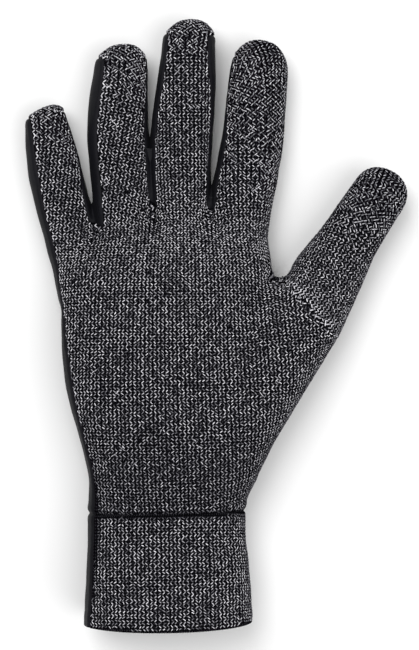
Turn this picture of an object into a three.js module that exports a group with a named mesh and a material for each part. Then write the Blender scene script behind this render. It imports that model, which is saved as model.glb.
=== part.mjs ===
// Right-hand diving glove, lying on its back with the palm up, sizes in millimetres.
// The fingers point along +Y, the thumb side is +X and the palm faces +Z.
// The outer form is one smooth blend of a palm tube and five finger tubes. Each panel is a thick
// sheet on that form, with its outer face on the form and its inner face one wall further in.

import * as THREE from 'three';

// Hand, measured from the wrist seam
const palmLength = 123;
const palmWidth = 88;
const palmDepth = 39;
const wristWidth = 64;
const wristDepth = 35;

// Cuff, measured from the wrist seam down
const cuffLength = 47;
const cuffWidth = 68.4;
const cuffDepth = 41;

// Fabric
const wall = 3;
const seamGap = 0.3;

// How far the round back would reach below the floor if it weren't pressed flat
const press = 1.6;

// Radii over which the tubes run into each other, and over which the back turns flat
const crotchBlend = 2.4;
const knuckleBlend = 6;
const thumbBlend = 8;
const floorBlend = 1.4;

// Squareness of the sections: 2 is an ellipse
const palmPower = 2.35;
const fingerPower = 2.2;

// Palm and cuff
// One row a section: place along the palm, left and right edge across it, and depth.
const trunkSections = [
  { along: 0.11, left: -0.362, right: 0.392, depth: 0.97 },
  { along: 0.25, left: -0.406, right: 0.437, depth: 1.0 },
  { along: 0.41, left: -0.462, right: 0.466, depth: 0.97 },
  { along: 0.57, left: -0.49, right: 0.485, depth: 0.9 },
  { along: 0.77, left: -0.487, right: 0.482, depth: 0.78 },
  { along: 0.95, left: -0.5, right: 0.465, depth: 0.66 },
].map((row) => ({
  along: row.along * palmLength,
  left: row.left * palmWidth,
  right: row.right * palmWidth,
  depth: row.depth * palmDepth,
}));
trunkSections.unshift(
  { along: -cuffLength, left: -0.493 * cuffWidth, right: 0.507 * cuffWidth, depth: cuffDepth },
  { along: -cuffLength / 2, left: -0.508 * wristWidth, right: 0.521 * wristWidth, depth: 0.95 * cuffDepth },
  { along: 0, left: -wristWidth / 2, right: wristWidth / 2, depth: wristDepth },
);

// Where the palm tube ends between the fingers, at the little finger and at the index
const knuckleLine = { low: 0.92 * palmLength, high: 0.99 * palmLength, reach: 0.18 * palmLength };

// Middle finger, which the others are shares of
const fingerLength = 78.6;
const fingerWidth = 25;
const fingerDepth = 21;

// Thumb
const thumbLength = 65.8;
const thumbWidth = 24;
const thumbDepth = 21;

// Finger tubes
// One row a finger, little finger first: length, width and depth as shares of the middle finger's,
// root across and along the palm, lean from straight up in degrees, the length of the round tip as
// a share of the width, and how far the tip slants.
const fingerRows = [
  { name: 'pinky', length: 0.677, width: 0.904, depth: 0.857, across: -0.439, along: 0.925,
    lean: -13.3, tip: 0.2, slant: 0.16 },
  { name: 'ring', length: 0.924, width: 1, depth: 0.952, across: -0.189, along: 0.967,
    lean: -1.3, tip: 0.36, slant: 0.06 },
  { name: 'middle', length: 1, width: 1, depth: 1, across: 0.074, along: 0.999,
    lean: 1.6, tip: 0.4, slant: 0.1 },
  { name: 'index', length: 0.897, width: 1.024, depth: 0.976, across: 0.342, along: 0.999,
    lean: 5.3, tip: 0.44, slant: 0 },
].map((row) => ({
  ...row,
  length: row.length * fingerLength,
  width: row.width * fingerWidth,
  depth: row.depth * fingerDepth,
}));

// Sections of each finger: place along its length, reach to the left and right of its line as
// shares of its width, depth as a share of its depth and lift of its underside likewise, and the
// strips of side panel that show from above, as shares of its width.
const fingerSections = {
  pinky: [
    { at: -0.45, left: 0.5, right: 0.45, depth: 1.1, lift: 0, leftStrip: 0.145, rightStrip: 0.01 },
    { at: 0.0, left: 0.545, right: 0.445, depth: 1.08, lift: 0, leftStrip: 0.15, rightStrip: 0.01 },
    { at: 0.4, left: 0.565, right: 0.41, depth: 1.0, lift: 0.02, leftStrip: 0.215, rightStrip: 0.01 },
    { at: 0.6, left: 0.54, right: 0.41, depth: 0.95, lift: 0.06, leftStrip: 0.185, rightStrip: 0.01 },
    { at: 0.8, left: 0.46, right: 0.38, depth: 0.87, lift: 0.13, leftStrip: 0.165, rightStrip: 0.01 },
    { at: 0.95, left: 0.38, right: 0.35, depth: 0.78, lift: 0.21, leftStrip: 0.08, rightStrip: 0.01 },
  ],
  ring: [
    { at: -0.35, left: 0.5, right: 0.47, depth: 1.12, lift: 0, leftStrip: 0.2, rightStrip: 0.01 },
    { at: 0.0, left: 0.53, right: 0.46, depth: 1.08, lift: 0, leftStrip: 0.2, rightStrip: 0.01 },
    { at: 0.25, left: 0.575, right: 0.42, depth: 1.02, lift: 0.01, leftStrip: 0.21, rightStrip: 0.01 },
    { at: 0.5, left: 0.62, right: 0.385, depth: 0.97, lift: 0.05, leftStrip: 0.255, rightStrip: 0.01 },
    { at: 0.7, left: 0.572, right: 0.39, depth: 0.92, lift: 0.11, leftStrip: 0.25, rightStrip: 0.01 },
    { at: 0.85, left: 0.49, right: 0.398, depth: 0.85, lift: 0.17, leftStrip: 0.18, rightStrip: 0.01 },
    { at: 0.97, left: 0.42, right: 0.39, depth: 0.79, lift: 0.23, leftStrip: 0.1, rightStrip: 0.01 },
  ],
  middle: [
    { at: -0.35, left: 0.47, right: 0.47, depth: 1.1, lift: 0, leftStrip: 0.12, rightStrip: 0.05 },
    { at: 0.0, left: 0.5, right: 0.43, depth: 1.06, lift: 0, leftStrip: 0.12, rightStrip: 0.05 },
    { at: 0.25, left: 0.55, right: 0.44, depth: 1.0, lift: 0.01, leftStrip: 0.13, rightStrip: 0.05 },
    { at: 0.45, left: 0.552, right: 0.462, depth: 0.97, lift: 0.05, leftStrip: 0.14, rightStrip: 0.05 },
    { at: 0.65, left: 0.495, right: 0.478, depth: 0.92, lift: 0.11, leftStrip: 0.12, rightStrip: 0.09 },
    { at: 0.85, left: 0.432, right: 0.46, depth: 0.84, lift: 0.18, leftStrip: 0.1, rightStrip: 0.13 },
    { at: 0.97, left: 0.4, right: 0.44, depth: 0.78, lift: 0.24, leftStrip: 0.07, rightStrip: 0.08 },
  ],
  index: [
    { at: -0.45, left: 0.45, right: 0.45, depth: 1.12, lift: 0, leftStrip: 0.11, rightStrip: 0.107 },
    { at: 0.0, left: 0.49, right: 0.49, depth: 1.08, lift: 0, leftStrip: 0.11, rightStrip: 0.107 },
    { at: 0.2, left: 0.465, right: 0.54, depth: 1.03, lift: 0.01, leftStrip: 0.11, rightStrip: 0.107 },
    { at: 0.42, left: 0.41, right: 0.588, depth: 0.98, lift: 0.05, leftStrip: 0.08, rightStrip: 0.107 },
    { at: 0.6, left: 0.387, right: 0.572, depth: 0.93, lift: 0.1, leftStrip: 0.01, rightStrip: 0.107 },
    { at: 0.8, left: 0.37, right: 0.552, depth: 0.87, lift: 0.16, leftStrip: 0.01, rightStrip: 0.107 },
    { at: 0.93, left: 0.34, right: 0.51, depth: 0.81, lift: 0.22, leftStrip: 0.01, rightStrip: 0.107 },
  ],
};

// Thumb tube, whose first sections are the ball of the thumb inside the palm
const thumbRow = { name: 'thumb', length: thumbLength, width: thumbWidth, depth: thumbDepth,
  across: 0.653, along: 0.672, lean: 32.3, tip: 0.42, slant: 0 };
const thumbSections = [
  { at: -1.05, left: 0.7, right: 0.74, depth: 1.62, lift: 0.05 },
  { at: -0.5, left: 0.74, right: 0.69, depth: 1.68, lift: 0.07 },
  { at: -0.05, left: 0.72, right: 0.69, depth: 1.36, lift: 0.12 },
  { at: 0.12, left: 0.65, right: 0.635, depth: 1.2, lift: 0.15 },
  { at: 0.3, left: 0.596, right: 0.567, depth: 1.08, lift: 0.18 },
  { at: 0.5, left: 0.529, right: 0.496, depth: 1.0, lift: 0.21 },
  { at: 0.7, left: 0.49, right: 0.478, depth: 0.94, lift: 0.24 },
  { at: 0.9, left: 0.46, right: 0.45, depth: 0.86, lift: 0.28 },
];

// Set-in seam of the thumb, as places along the thumb at its outer and its crotch side
const thumbSeam = { outer: -0.06 * thumbLength, crotch: 0.06 * thumbLength };

// Crotches on the palm side, as shares of the palm's width and length, and how much nearer to the
// wrist they lie on the back
const crotches = [
  { across: -0.295, along: 0.935 },
  { across: -0.055, along: 0.99 },
  { across: 0.212, along: 0.985 },
];
const backCrotchDrop = 0.035 * palmLength;

// How far below each crotch its fan of nodes starts
const crotchFanReach = 0.11 * palmLength;

// Rows of quads on the palm: where each meets the left edge and the thumb-side edge, as shares of
// the palm's length, and the width of the black strip on the left edge as a share of its width.
const palmRows = [
  { left: 0, right: 0.008, strip: 0.034 },
  { left: 0.08, right: 0.085, strip: 0.033 },
  { left: 0.17, right: 0.18, strip: 0.031 },
  { left: 0.27, right: 0.29, strip: 0.03 },
  { left: 0.37, right: 0.4, strip: 0.034 },
  { left: 0.46, right: 0.5, strip: 0.037 },
  { left: 0.54, right: null, strip: 0.029 },
  { left: 0.6, right: null, strip: 0.02 },
  { left: 0.66, right: null, strip: 0.013 },
  { left: 0.715, right: null, strip: 0.011 },
  { left: 0.765, right: null, strip: 0.013 },
  { left: 0.815, right: null, strip: 0.019 },
  { left: 0.862, right: 0.875, strip: 0.026 },
  { left: 0.905, right: 0.955, strip: 0.031 },
];
const thumbFirstRow = palmRows.findIndex((row) => row.right === null);
const thumbLastRow = palmRows.findLastIndex((row) => row.right === null);

// Quads across a finger's palm side or back, down a side, and along the fingers, thumb and cuff
const topQuads = 4;
const sideQuads = 4;
const fingerQuads = 8;
const thumbQuads = 7;
const cuffQuads = 4;
const palmQuads = fingerRows.length * topQuads;
const thumbTopQuads = thumbLastRow - thumbFirstRow;

const up = new THREE.Vector3(0, 0, 1);
const forward = new THREE.Vector3(0, 1, 0);
const degrees = Math.PI / 180;

// Value of a table's column at a place between its rows, by a smooth curve through the rows
function lookUp(rows, key, place, column) {
  const last = rows.length - 1;
  if (place <= rows[0][key]) return rows[0][column];
  if (place >= rows[last][key]) return rows[last][column];
  let i = 0;
  while (place > rows[i + 1][key]) i += 1;
  const slope = (j) => {
    const a = rows[Math.max(j - 1, 0)];
    const b = rows[Math.min(j + 1, last)];
    return (b[column] - a[column]) / (b[key] - a[key]);
  };
  const span = rows[i + 1][key] - rows[i][key];
  const t = (place - rows[i][key]) / span;
  const rise = rows[i + 1][column] - rows[i][column];
  const bend = t * (1 - t) * ((1 - t) * (slope(i) * span - rise) - t * (slope(i + 1) * span - rise));
  return rows[i][column] + t * rise + bend;
}

// About how far a point lies outside a rounded section with a rounded end, in millimetres
function ovalDistance(across, rise, past, halfWidth, halfDepth, reach, power) {
  const u = Math.abs(across) / halfWidth;
  const w = Math.abs(rise) / halfDepth;
  const q = Math.max(past, 0) / reach;
  const size = (u ** power + w ** power + q ** power) ** (1 / power);
  const nearCentre = 0.05;
  if (size < nearCentre) return -Math.min(halfWidth, halfDepth);
  const steep = Math.hypot(
    u ** (power - 1) / halfWidth,
    w ** (power - 1) / halfDepth,
    q ** (power - 1) / reach,
  );
  return ((size - 1) * size ** (power - 1)) / steep;
}

// Smooth union of two distances over a blend radius
function blend(a, b, radius) {
  const share = Math.max(radius - Math.abs(a - b), 0) / radius;
  return Math.min(a, b) - (share * share * radius) / 4;
}

// Frame of a finger tube: its root, its line and the direction to its right
function fingerTube(row, sections) {
  const lean = row.lean * degrees;
  return {
    ...row,
    sections,
    root: new THREE.Vector3(row.across * palmWidth, row.along * palmLength, 0),
    line: new THREE.Vector3(Math.sin(lean), Math.cos(lean), 0),
    right: new THREE.Vector3(Math.cos(lean), -Math.sin(lean), 0),
    tipReach: row.tip * row.width,
  };
}

const fingers = fingerRows.map((row) => fingerTube(row, fingerSections[row.name]));
const thumb = fingerTube(thumbRow, thumbSections);

// Section of a finger tube at a place along it: centre, half width and half depth
function fingerSection(tube, along) {
  const column = (name) => lookUp(tube.sections, 'at', along / tube.length, name);
  const left = column('left') * tube.width;
  const right = column('right') * tube.width;
  const low = column('lift') * tube.depth - press;
  const high = (column('lift') + column('depth')) * tube.depth;
  return {
    shift: (right - left) / 2,
    halfWidth: (right + left) / 2,
    middle: (high + low) / 2,
    halfDepth: (high - low) / 2,
  };
}

function fingerDistance(tube, point) {
  const dx = point.x - tube.root.x;
  const dy = point.y - tube.root.y;
  const along = dx * tube.line.x + dy * tube.line.y;
  const across = dx * tube.right.x + dy * tube.right.y;
  const section = fingerSection(tube, along);
  const start = tube.sections[0].at * tube.length;
  const pastTip = along + tube.slant * -across - (tube.length - tube.tipReach);
  const past = along < start ? start - along : pastTip;
  return ovalDistance(across - section.shift, point.z - section.middle, past,
    section.halfWidth, section.halfDepth, tube.tipReach, fingerPower);
}

function trunkSection(along) {
  const column = (name) => lookUp(trunkSections, 'along', along, name);
  const left = column('left');
  const right = column('right');
  const depth = column('depth');
  return {
    shift: (left + right) / 2,
    halfWidth: (right - left) / 2,
    middle: (depth - press) / 2,
    halfDepth: (depth + press) / 2,
  };
}

function trunkDistance(point) {
  const section = trunkSection(point.y);
  const share = THREE.MathUtils.clamp(point.x / palmWidth + 0.5, 0, 1);
  const end = THREE.MathUtils.lerp(knuckleLine.low, knuckleLine.high, share);
  return ovalDistance(point.x - section.shift, point.z - section.middle,
    point.y - (end - knuckleLine.reach), section.halfWidth, section.halfDepth, knuckleLine.reach,
    palmPower);
}

// About how far a point lies outside the glove's form
function formDistance(point) {
  const hand = fingers
    .map((tube) => fingerDistance(tube, point))
    .reduce((a, b) => blend(a, b, crotchBlend));
  const palm = blend(hand, trunkDistance(point), knuckleBlend);
  const whole = blend(palm, fingerDistance(thumb, point), thumbBlend);
  return -blend(-whole, point.z, floorBlend);
}

// Place between two others where a test that starts true turns false
function halve(first, last, holds) {
  let near = first;
  let far = last;
  for (let i = 0; i < 20; i += 1) {
    const middle = (near + far) / 2;
    if (holds(middle)) near = middle;
    else far = middle;
  }
  return (near + far) / 2;
}

// Point where a ray leaves the form, or the shape that lies a depth inside it
function cast(ray, depth) {
  const at = (distance) => ray.from.clone().addScaledVector(ray.way, distance);
  const shortestStep = 0.2;
  const safeShare = 0.6;
  const furthest = palmLength;
  let near = 0;
  let far = 0;
  let left = -depth - formDistance(at(far));
  while (left > 0 && far < furthest) {
    near = far;
    far += Math.max(safeShare * left, shortestStep);
    left = -depth - formDistance(at(far));
  }
  const point = at(halve(near, far, (distance) => formDistance(at(distance)) < -depth));
  const flat = 0.02;
  if (Math.abs(point.z) < flat) point.z = 0;
  return point;
}

// A node of the net: the ray that it lies on and the point where that ray leaves the form
let nodeCount = 0;
function makeNode(from, way) {
  const ray = { from, way: way.clone().normalize() };
  nodeCount += 1;
  return { id: nodeCount, ray, outer: cast(ray, 0) };
}

const nodeTowards = (from, target) => makeNode(from, target.clone().sub(from));

// Nodes between a top and a bottom node, fanned about a point inside, bulging outwards
const fanBulge = 2.2;
function fan(from, top, bottom, outward) {
  const first = top.outer.clone().sub(from).normalize();
  const last = bottom.outer.clone().sub(from).normalize();
  const nodes = [top];
  for (let i = 1; i < sideQuads; i += 1) {
    const t = i / sideQuads;
    const way = first.clone().lerp(last, t).addScaledVector(outward, fanBulge * t * (1 - t));
    nodes.push(makeNode(from, way));
  }
  nodes.push(bottom);
  return nodes;
}

// Edge of the palm or cuff at a place along it: widest point on one side and a point well inside,
// a share of the half depth away
const edgeInset = 0.9;
function trunkEdge(along, side) {
  const section = trunkSection(along);
  const centre = new THREE.Vector3(section.shift, along, section.middle);
  const outward = new THREE.Vector3(side, 0, 0);
  const widest = cast({ from: centre, way: outward }, 0);
  const inside = widest.clone().addScaledVector(outward, -edgeInset * section.halfDepth);
  return { widest, inside, outward };
}

// Node on the rounding of an edge at an angle above the level of its widest point
function edgeNode(edge, angle) {
  const way = edge.outward.clone().multiplyScalar(Math.cos(angle)).addScaledVector(up, Math.sin(angle));
  return makeNode(edge.inside, way);
}

// Angle on a section where a seam lies that shows a strip of the side from straight above
const stripAngle = (strip, halfWidth) => Math.acos(1 - strip / halfWidth);

// Angles below the widest level at which the back panel starts, and above it on the thumb side
const backSeamAngle = 45 * degrees;
const thumbSideAngle = 38 * degrees;

// One side of a row of the palm's net: nodes from the top of the edge round to the bottom
function sideNodes(along, side, strip) {
  const edge = trunkEdge(along, side);
  let top = edgeNode(edge, thumbSideAngle);
  if (strip !== undefined) {
    const below = edge.widest.clone().addScaledVector(edge.outward, -strip * palmWidth);
    top = nodeTowards(edge.inside, cast({ from: below, way: up }, 0));
  }
  const bottom = edgeNode(edge, -backSeamAngle);
  return fan(edge.inside, top, bottom, edge.outward);
}

// Centre of a tube's section at a place along it
function tubeCentre(tube, along) {
  const section = fingerSection(tube, along);
  const centre = tube.root.clone().addScaledVector(tube.line, along);
  centre.addScaledVector(tube.right, section.shift);
  centre.z = section.middle;
  return centre;
}

// Furthest place along a tube that still lies deep inside it, at least a share of its width
// before its end
const deepShare = 0.4;
const deepEnd = (tube) => tube.length - Math.max(tube.tipReach, deepShare * tube.width);

// Point on a finger tube at a place along it and an angle round its section, 0 at its right
function tubePoint(tube, along, angle) {
  const section = fingerSection(tube, along);
  const way = tube.right.clone().multiplyScalar(Math.cos(angle) * section.halfWidth);
  way.addScaledVector(up, Math.sin(angle) * section.halfDepth).normalize();
  return cast({ from: tubeCentre(tube, along), way }, 0);
}

function tubeNode(tube, along, angle) {
  const inside = tubeCentre(tube, Math.min(along, deepEnd(tube)));
  return nodeTowards(inside, tubePoint(tube, along, angle));
}

// Opening in the palm for the thumb: its outer side, its crotch side, its top and its bottom. The
// crotch side fans out from a point a share of the thumb's width inside it.
const thumbCrotchInset = 0.6;
function thumbOpening() {
  const along = (t) => THREE.MathUtils.lerp(thumbSeam.outer, thumbSeam.crotch, t);
  const topAngle = (t) => THREE.MathUtils.lerp(thumbSideAngle, Math.PI - thumbSideAngle, t);
  const crotchWay = forward.clone().add(thumb.line).normalize();
  const corners = [1, -1].map((sign) => tubePoint(thumb, along(1), sign * topAngle(1)));
  const crotchFrom = corners[0].lerp(corners[1], 0.5);
  crotchFrom.addScaledVector(crotchWay, -thumbCrotchInset * thumb.width);
  const outerFrom = tubeCentre(thumb, thumbSeam.outer);
  const arc = (sign) => {
    const nodes = [];
    for (let i = 0; i <= thumbTopQuads; i += 1) {
      const t = i / thumbTopQuads;
      const inside = outerFrom.clone().lerp(crotchFrom, t);
      nodes.push(nodeTowards(inside, tubePoint(thumb, along(t), sign * topAngle(t))));
    }
    return nodes;
  };
  const top = arc(1);
  const bottom = arc(-1);
  return {
    top,
    bottom,
    outer: fan(outerFrom, top[0], bottom[0], thumb.right),
    crotch: fan(crotchFrom, top[thumbTopQuads], bottom[thumbTopQuads], crotchWay),
  };
}

const opening = thumbOpening();

// Left and right sides of every row of the palm's net
const palmSides = palmRows.map((row, index) => {
  const left = sideNodes(row.left * palmLength, -1, row.strip);
  if (row.right !== null) return { left, right: sideNodes(row.right * palmLength, 1) };
  const place = index - thumbFirstRow;
  if (place === 0) return { left, right: opening.outer };
  if (place === thumbTopQuads) return { left, right: opening.crotch };
  return { left, right: [opening.top[place], opening.bottom[place]] };
});

// Point half way between two finger tubes, at a place along the hand and a height
function gapPoint(left, right, along, height) {
  const lineAt = (tube) => tube.root.x + ((along - tube.root.y) * tube.line.x) / tube.line.y;
  const at = (x) => new THREE.Vector3(x, along, height);
  const nearLeft = (x) => fingerDistance(left, at(x)) < fingerDistance(right, at(x));
  return at(halve(lineAt(left), lineAt(right), nearLeft));
}

// End of the web between two finger tubes at a height, searched for from a place along the hand
function webEnd(left, right, start, height) {
  const joined = (along) => formDistance(gapPoint(left, right, along, height)) < 0;
  let end = start;
  while (joined(end) && end < start + 0.5 * palmLength) end += 1;
  return gapPoint(left, right, halve(end - 1, end, joined), height);
}

// Crotch fans between the fingers
const crotchFans = crotches.map((row, index) => {
  const depth = fingerSection(fingers[index], 0).middle;
  const inside = new THREE.Vector3(row.across * palmWidth, row.along * palmLength, depth);
  const back = inside.clone().addScaledVector(forward, -backCrotchDrop);
  const [left, right] = [fingers[index], fingers[index + 1]];
  const from = inside.clone().addScaledVector(forward, -crotchFanReach);
  const top = nodeTowards(from, cast({ from: inside, way: up }, 0));
  const bottom = nodeTowards(from, cast({ from: back, way: up.clone().negate() }, 0));
  const nodes = [top];
  for (let i = 1; i < sideQuads; i += 1) {
    const height = THREE.MathUtils.lerp(top.outer.z, bottom.outer.z, i / sideQuads);
    const start = THREE.MathUtils.lerp(top.outer.y, bottom.outer.y, i / sideQuads);
    nodes.push(nodeTowards(from, webEnd(left, right, start, height)));
  }
  return [...nodes, bottom];
});

// Node straight above or below a point in plan, on a ray from deep inside the form
function faceNode(point, side, inside) {
  const from = new THREE.Vector3(point.x, point.y, inside.z);
  const outer = cast({ from, way: up.clone().multiplyScalar(side) }, 0);
  return nodeTowards(new THREE.Vector3(inside.x, point.y, inside.z), outer);
}

// Share of the wrist's half turn at which the columns of the palm's top start
const evenStart = 0.12;
const evenShare = (t) => (1 - Math.cos((evenStart + (1 - 2 * evenStart) * t) * Math.PI)) / 2;

// Nodes across the palm or the back between its two sides. The columns start evenly round the
// wrist and end in equal parts between the crotches, which draw the last rows into a curve. The
// two powers say how late along the palm the crotches draw on the columns and on the rows.
const columnPull = 1.5;
const rowPull = 3;
function acrossNodes(rowIndex, side) {
  const sides = palmSides[rowIndex];
  const pick = (nodes) => (side > 0 ? nodes[0] : nodes[nodes.length - 1]);
  const first = pick(sides.left);
  const last = pick(sides.right);
  const rowShare = palmRows[rowIndex].left / palmRows[palmRows.length - 1].left;
  const pull = rowShare ** columnPull;
  const ends = [palmSides.at(-1).left, palmSides.at(-1).right].map(pick);
  const knots = [ends[0], ...crotchFans.map(pick), ends[1]].map((node) => node.outer);
  const width = knots.at(-1).x - knots[0].x;
  const nodes = [first];
  for (let i = 1; i < palmQuads; i += 1) {
    const finger = Math.floor(i / topQuads);
    const t = (i % topQuads) / topQuads;
    const knot = knots[finger].clone().lerp(knots[finger + 1], t);
    const crotchShare = (knot.x - knots[0].x) / width;
    const even = (evenShare(i / palmQuads) - evenShare(0)) / (evenShare(1) - evenShare(0));
    const share = THREE.MathUtils.lerp(even, crotchShare, pull);
    const straight = THREE.MathUtils.lerp(knots[0].y, knots.at(-1).y, crotchShare);
    const point = first.outer.clone().lerp(last.outer, share);
    point.y += (knot.y - straight) * rowShare ** rowPull;
    nodes.push(faceNode(point, side, first.ray.from.clone().lerp(last.ray.from, share)));
  }
  nodes.push(last);
  return nodes;
}

const palmTop = palmRows.map((row, index) => acrossNodes(index, 1));
const palmBack = palmRows.map((row, index) => acrossNodes(index, -1));

// Last row, along the crotch line
function crotchLine(side) {
  const pick = (nodes) => (side > 0 ? nodes[0] : nodes[nodes.length - 1]);
  const lastSides = palmSides.at(-1);
  const knots = [pick(lastSides.left), ...crotchFans.map(pick), pick(lastSides.right)];
  const nodes = [knots[0]];
  fingers.forEach((tube, finger) => {
    for (let i = 1; i < topQuads; i += 1) {
      const t = i / topQuads;
      const point = knots[finger].outer.clone().lerp(knots[finger + 1].outer, t);
      const root = tube.root.clone();
      root.x = THREE.MathUtils.lerp(root.x, point.x, 0.5);
      root.z = fingerSection(tube, 0).middle;
      nodes.push(faceNode(point, side, root));
    }
    nodes.push(knots[finger + 1]);
  });
  return nodes;
}
palmTop[palmTop.length - 1] = crotchLine(1);
palmBack[palmBack.length - 1] = crotchLine(-1);

// Net of a finger: rings of nodes from its root ring to the start of its round tip. Past the last
// crotch its columns turn from where they start to the angles of the seams, over a share of the
// tube's length. The last ring lies a share of the tip's reach before the end.
const turnShare = 0.35;
const lastRingShare = 0.62;
function tubeRings(tube, rootRing, angles, quads) {
  const rings = [rootRing];
  const lastAlong = tube.length - lastRingShare * tube.tipReach;
  const reach = rootRing.map((node) => node.outer.clone().sub(tube.root).dot(tube.line));
  const freeFrom = Math.max(...reach);
  const settled = freeFrom + turnShare * tube.length;
  for (let j = 1; j <= quads; j += 1) {
    const t = j / quads;
    rings.push(rootRing.map((node, k) => {
      const offset = node.outer.clone().sub(tube.root);
      const start = reach[k];
      const along = THREE.MathUtils.lerp(start, lastAlong, t);
      const section = fingerSection(tube, start);
      const across = (offset.dot(tube.right) - section.shift) / section.halfWidth;
      const rise = (node.outer.z - section.middle) / section.halfDepth;
      const target = angles(along, k);
      let drift = Math.atan2(rise, across) - target;
      drift -= 2 * Math.PI * Math.round(drift / (2 * Math.PI));
      const left = 1 - THREE.MathUtils.smoothstep(along, freeFrom, settled);
      return tubeNode(tube, along, target + drift * left);
    }));
  }
  return rings;
}

// Net over a tip, whose border is the last ring: rows of nodes from its top edge to its bottom,
// pushed out by the tip's reach in the middle
const middlePush = 16;
function tipNet(tube, ring, across, down) {
  const size = ring.length;
  const top = ring.slice(0, across + 1);
  const right = ring.slice(across, across + down + 1);
  const bottom = ring.slice(across + down, 2 * across + down + 1).reverse();
  const left = [ring[0], ...ring.slice(2 * across + down, size).reverse()];
  const from = tubeCentre(tube, deepEnd(tube));
  const rows = [];
  for (let j = 0; j <= down; j += 1) {
    const row = [];
    for (let i = 0; i <= across; i += 1) {
      const u = i / across;
      const v = j / down;
      if (j === 0) row.push(top[i]);
      else if (j === down) row.push(bottom[i]);
      else if (i === 0) row.push(left[j]);
      else if (i === across) row.push(right[j]);
      else {
        const flat = top[i].outer.clone().lerp(bottom[i].outer, v);
        const wide = left[j].outer.clone().lerp(right[j].outer, u);
        const corners = top[0].outer.clone().lerp(top[across].outer, u);
        corners.lerp(bottom[0].outer.clone().lerp(bottom[across].outer, u), v);
        const point = flat.add(wide).sub(corners);
        const push = middlePush * u * (1 - u) * v * (1 - v);
        row.push(nodeTowards(from, point.addScaledVector(tube.line, push * tube.tipReach)));
      }
    }
    rows.push(row);
  }
  return rows;
}

// Rings start at the top left seam and run over the top, down the right, back and up the left
function fingerNet(tube, index) {
  const line = (nodes) => nodes.slice(index * topQuads, (index + 1) * topQuads + 1);
  const top = line(palmTop.at(-1));
  const back = line(palmBack.at(-1)).reverse();
  const right = index < crotchFans.length ? crotchFans[index] : palmSides.at(-1).right;
  const left = index > 0 ? crotchFans[index - 1] : palmSides.at(-1).left;
  const ring = [...top, ...right.slice(1, -1), ...back, ...left.slice(1, -1).reverse()];
  const angles = (along, k) => {
    const halfWidth = fingerSection(tube, along).halfWidth;
    const strip = (name) => lookUp(tube.sections, 'at', along / tube.length, name) * tube.width;
    const topLeft = Math.PI - stripAngle(strip('leftStrip'), halfWidth);
    const topRight = stripAngle(strip('rightStrip'), halfWidth);
    return ringAngle(k, topQuads, topLeft, topRight);
  };
  const rings = tubeRings(tube, ring, angles, fingerQuads);
  return { rings, tip: tipNet(tube, rings.at(-1), topQuads, sideQuads), across: topQuads };
}

// Angle of a ring's node, from the angles of its two upper seams
function ringAngle(k, across, topLeft, topRight) {
  const backRight = -backSeamAngle;
  const backLeft = -Math.PI + backSeamAngle;
  const turn = THREE.MathUtils.lerp;
  if (k <= across) return turn(topLeft, topRight, k / across);
  if (k <= across + sideQuads) return turn(topRight, backRight, (k - across) / sideQuads);
  if (k <= 2 * across + sideQuads) return turn(backRight, backLeft, (k - across - sideQuads) / across);
  return turn(backLeft, topLeft - 2 * Math.PI, (k - 2 * across - sideQuads) / sideQuads);
}

const fingerNets = fingers.map(fingerNet);

// The thumb's ring starts at its crotch side, which is its left
function thumbNet() {
  const top = [...opening.top].reverse();
  const ring = [...top, ...opening.outer.slice(1, -1), ...opening.bottom,
    ...opening.crotch.slice(1, -1).reverse()];
  const angles = (along, k) => ringAngle(k, thumbTopQuads, Math.PI - thumbSideAngle, thumbSideAngle);
  const rings = tubeRings(thumb, ring, angles, thumbQuads);
  return { rings, tip: tipNet(thumb, rings.at(-1), thumbTopQuads, sideQuads), across: thumbTopQuads };
}

const thumbMesh = thumbNet();

// Rings of the cuff, from the wrist seam down to the hem, with the wrist's own columns
function cuffRings() {
  const wrist = [...palmTop[0], ...palmSides[0].right.slice(1, -1), ...[...palmBack[0]].reverse(),
    ...palmSides[0].left.slice(1, -1).reverse()];
  const rings = [wrist];
  for (let j = 1; j <= cuffQuads; j += 1) {
    const t = j / cuffQuads;
    rings.push(wrist.map((node) => {
      const along = THREE.MathUtils.lerp(node.outer.y, -cuffLength, t);
      const here = trunkSection(node.outer.y);
      const there = trunkSection(along);
      const across = (node.outer.x - here.shift) / here.halfWidth;
      const rise = (node.outer.z - here.middle) / here.halfDepth;
      const from = new THREE.Vector3(there.shift, along, there.middle);
      return makeNode(from, new THREE.Vector3(across * there.halfWidth, 0, rise * there.halfDepth));
    }));
  }
  return rings;
}

// Quads between two rows of nodes, first row nearer to the wrist, columns running to the right
// as seen from outside
function stripQuads(lower, upper) {
  const quads = [];
  for (let i = 0; i + 1 < lower.length; i += 1) {
    quads.push([lower[i], lower[i + 1], upper[i + 1], upper[i]]);
  }
  return quads;
}

function netQuads(rows) {
  return rows.slice(1).flatMap((row, index) => stripQuads(rows[index], row));
}

const reversed = (rows) => rows.map((row) => [...row].reverse());
const part = (rings, first, count) => rings.map((ring) => {
  const nodes = [];
  for (let i = first; i <= first + count; i += 1) nodes.push(ring[i % ring.length]);
  return nodes;
});

// Parts of a finger's net: its top, its right side, its back, its left side and its tip
const netTop = (net) => netQuads(part(net.rings, 0, net.across));
const netRight = (net) => netQuads(part(net.rings, net.across, sideQuads));
const netBack = (net) => netQuads(part(net.rings, net.across + sideQuads, net.across));
const netLeft = (net) => netQuads(part(net.rings, 2 * net.across + sideQuads, sideQuads));
const netTip = (net) => netQuads(net.tip);

// Sides of the palm's net, in runs of rows that have a full side
function palmSideQuads(name, rows) {
  const nodes = rows.map((index) => palmSides[index][name]);
  return netQuads(name === 'left' ? reversed(nodes) : nodes);
}

const rowNumbers = palmRows.map((row, index) => index);
const belowThumb = rowNumbers.slice(0, thumbFirstRow + 1);
const aboveThumb = rowNumbers.slice(thumbLastRow);

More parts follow.
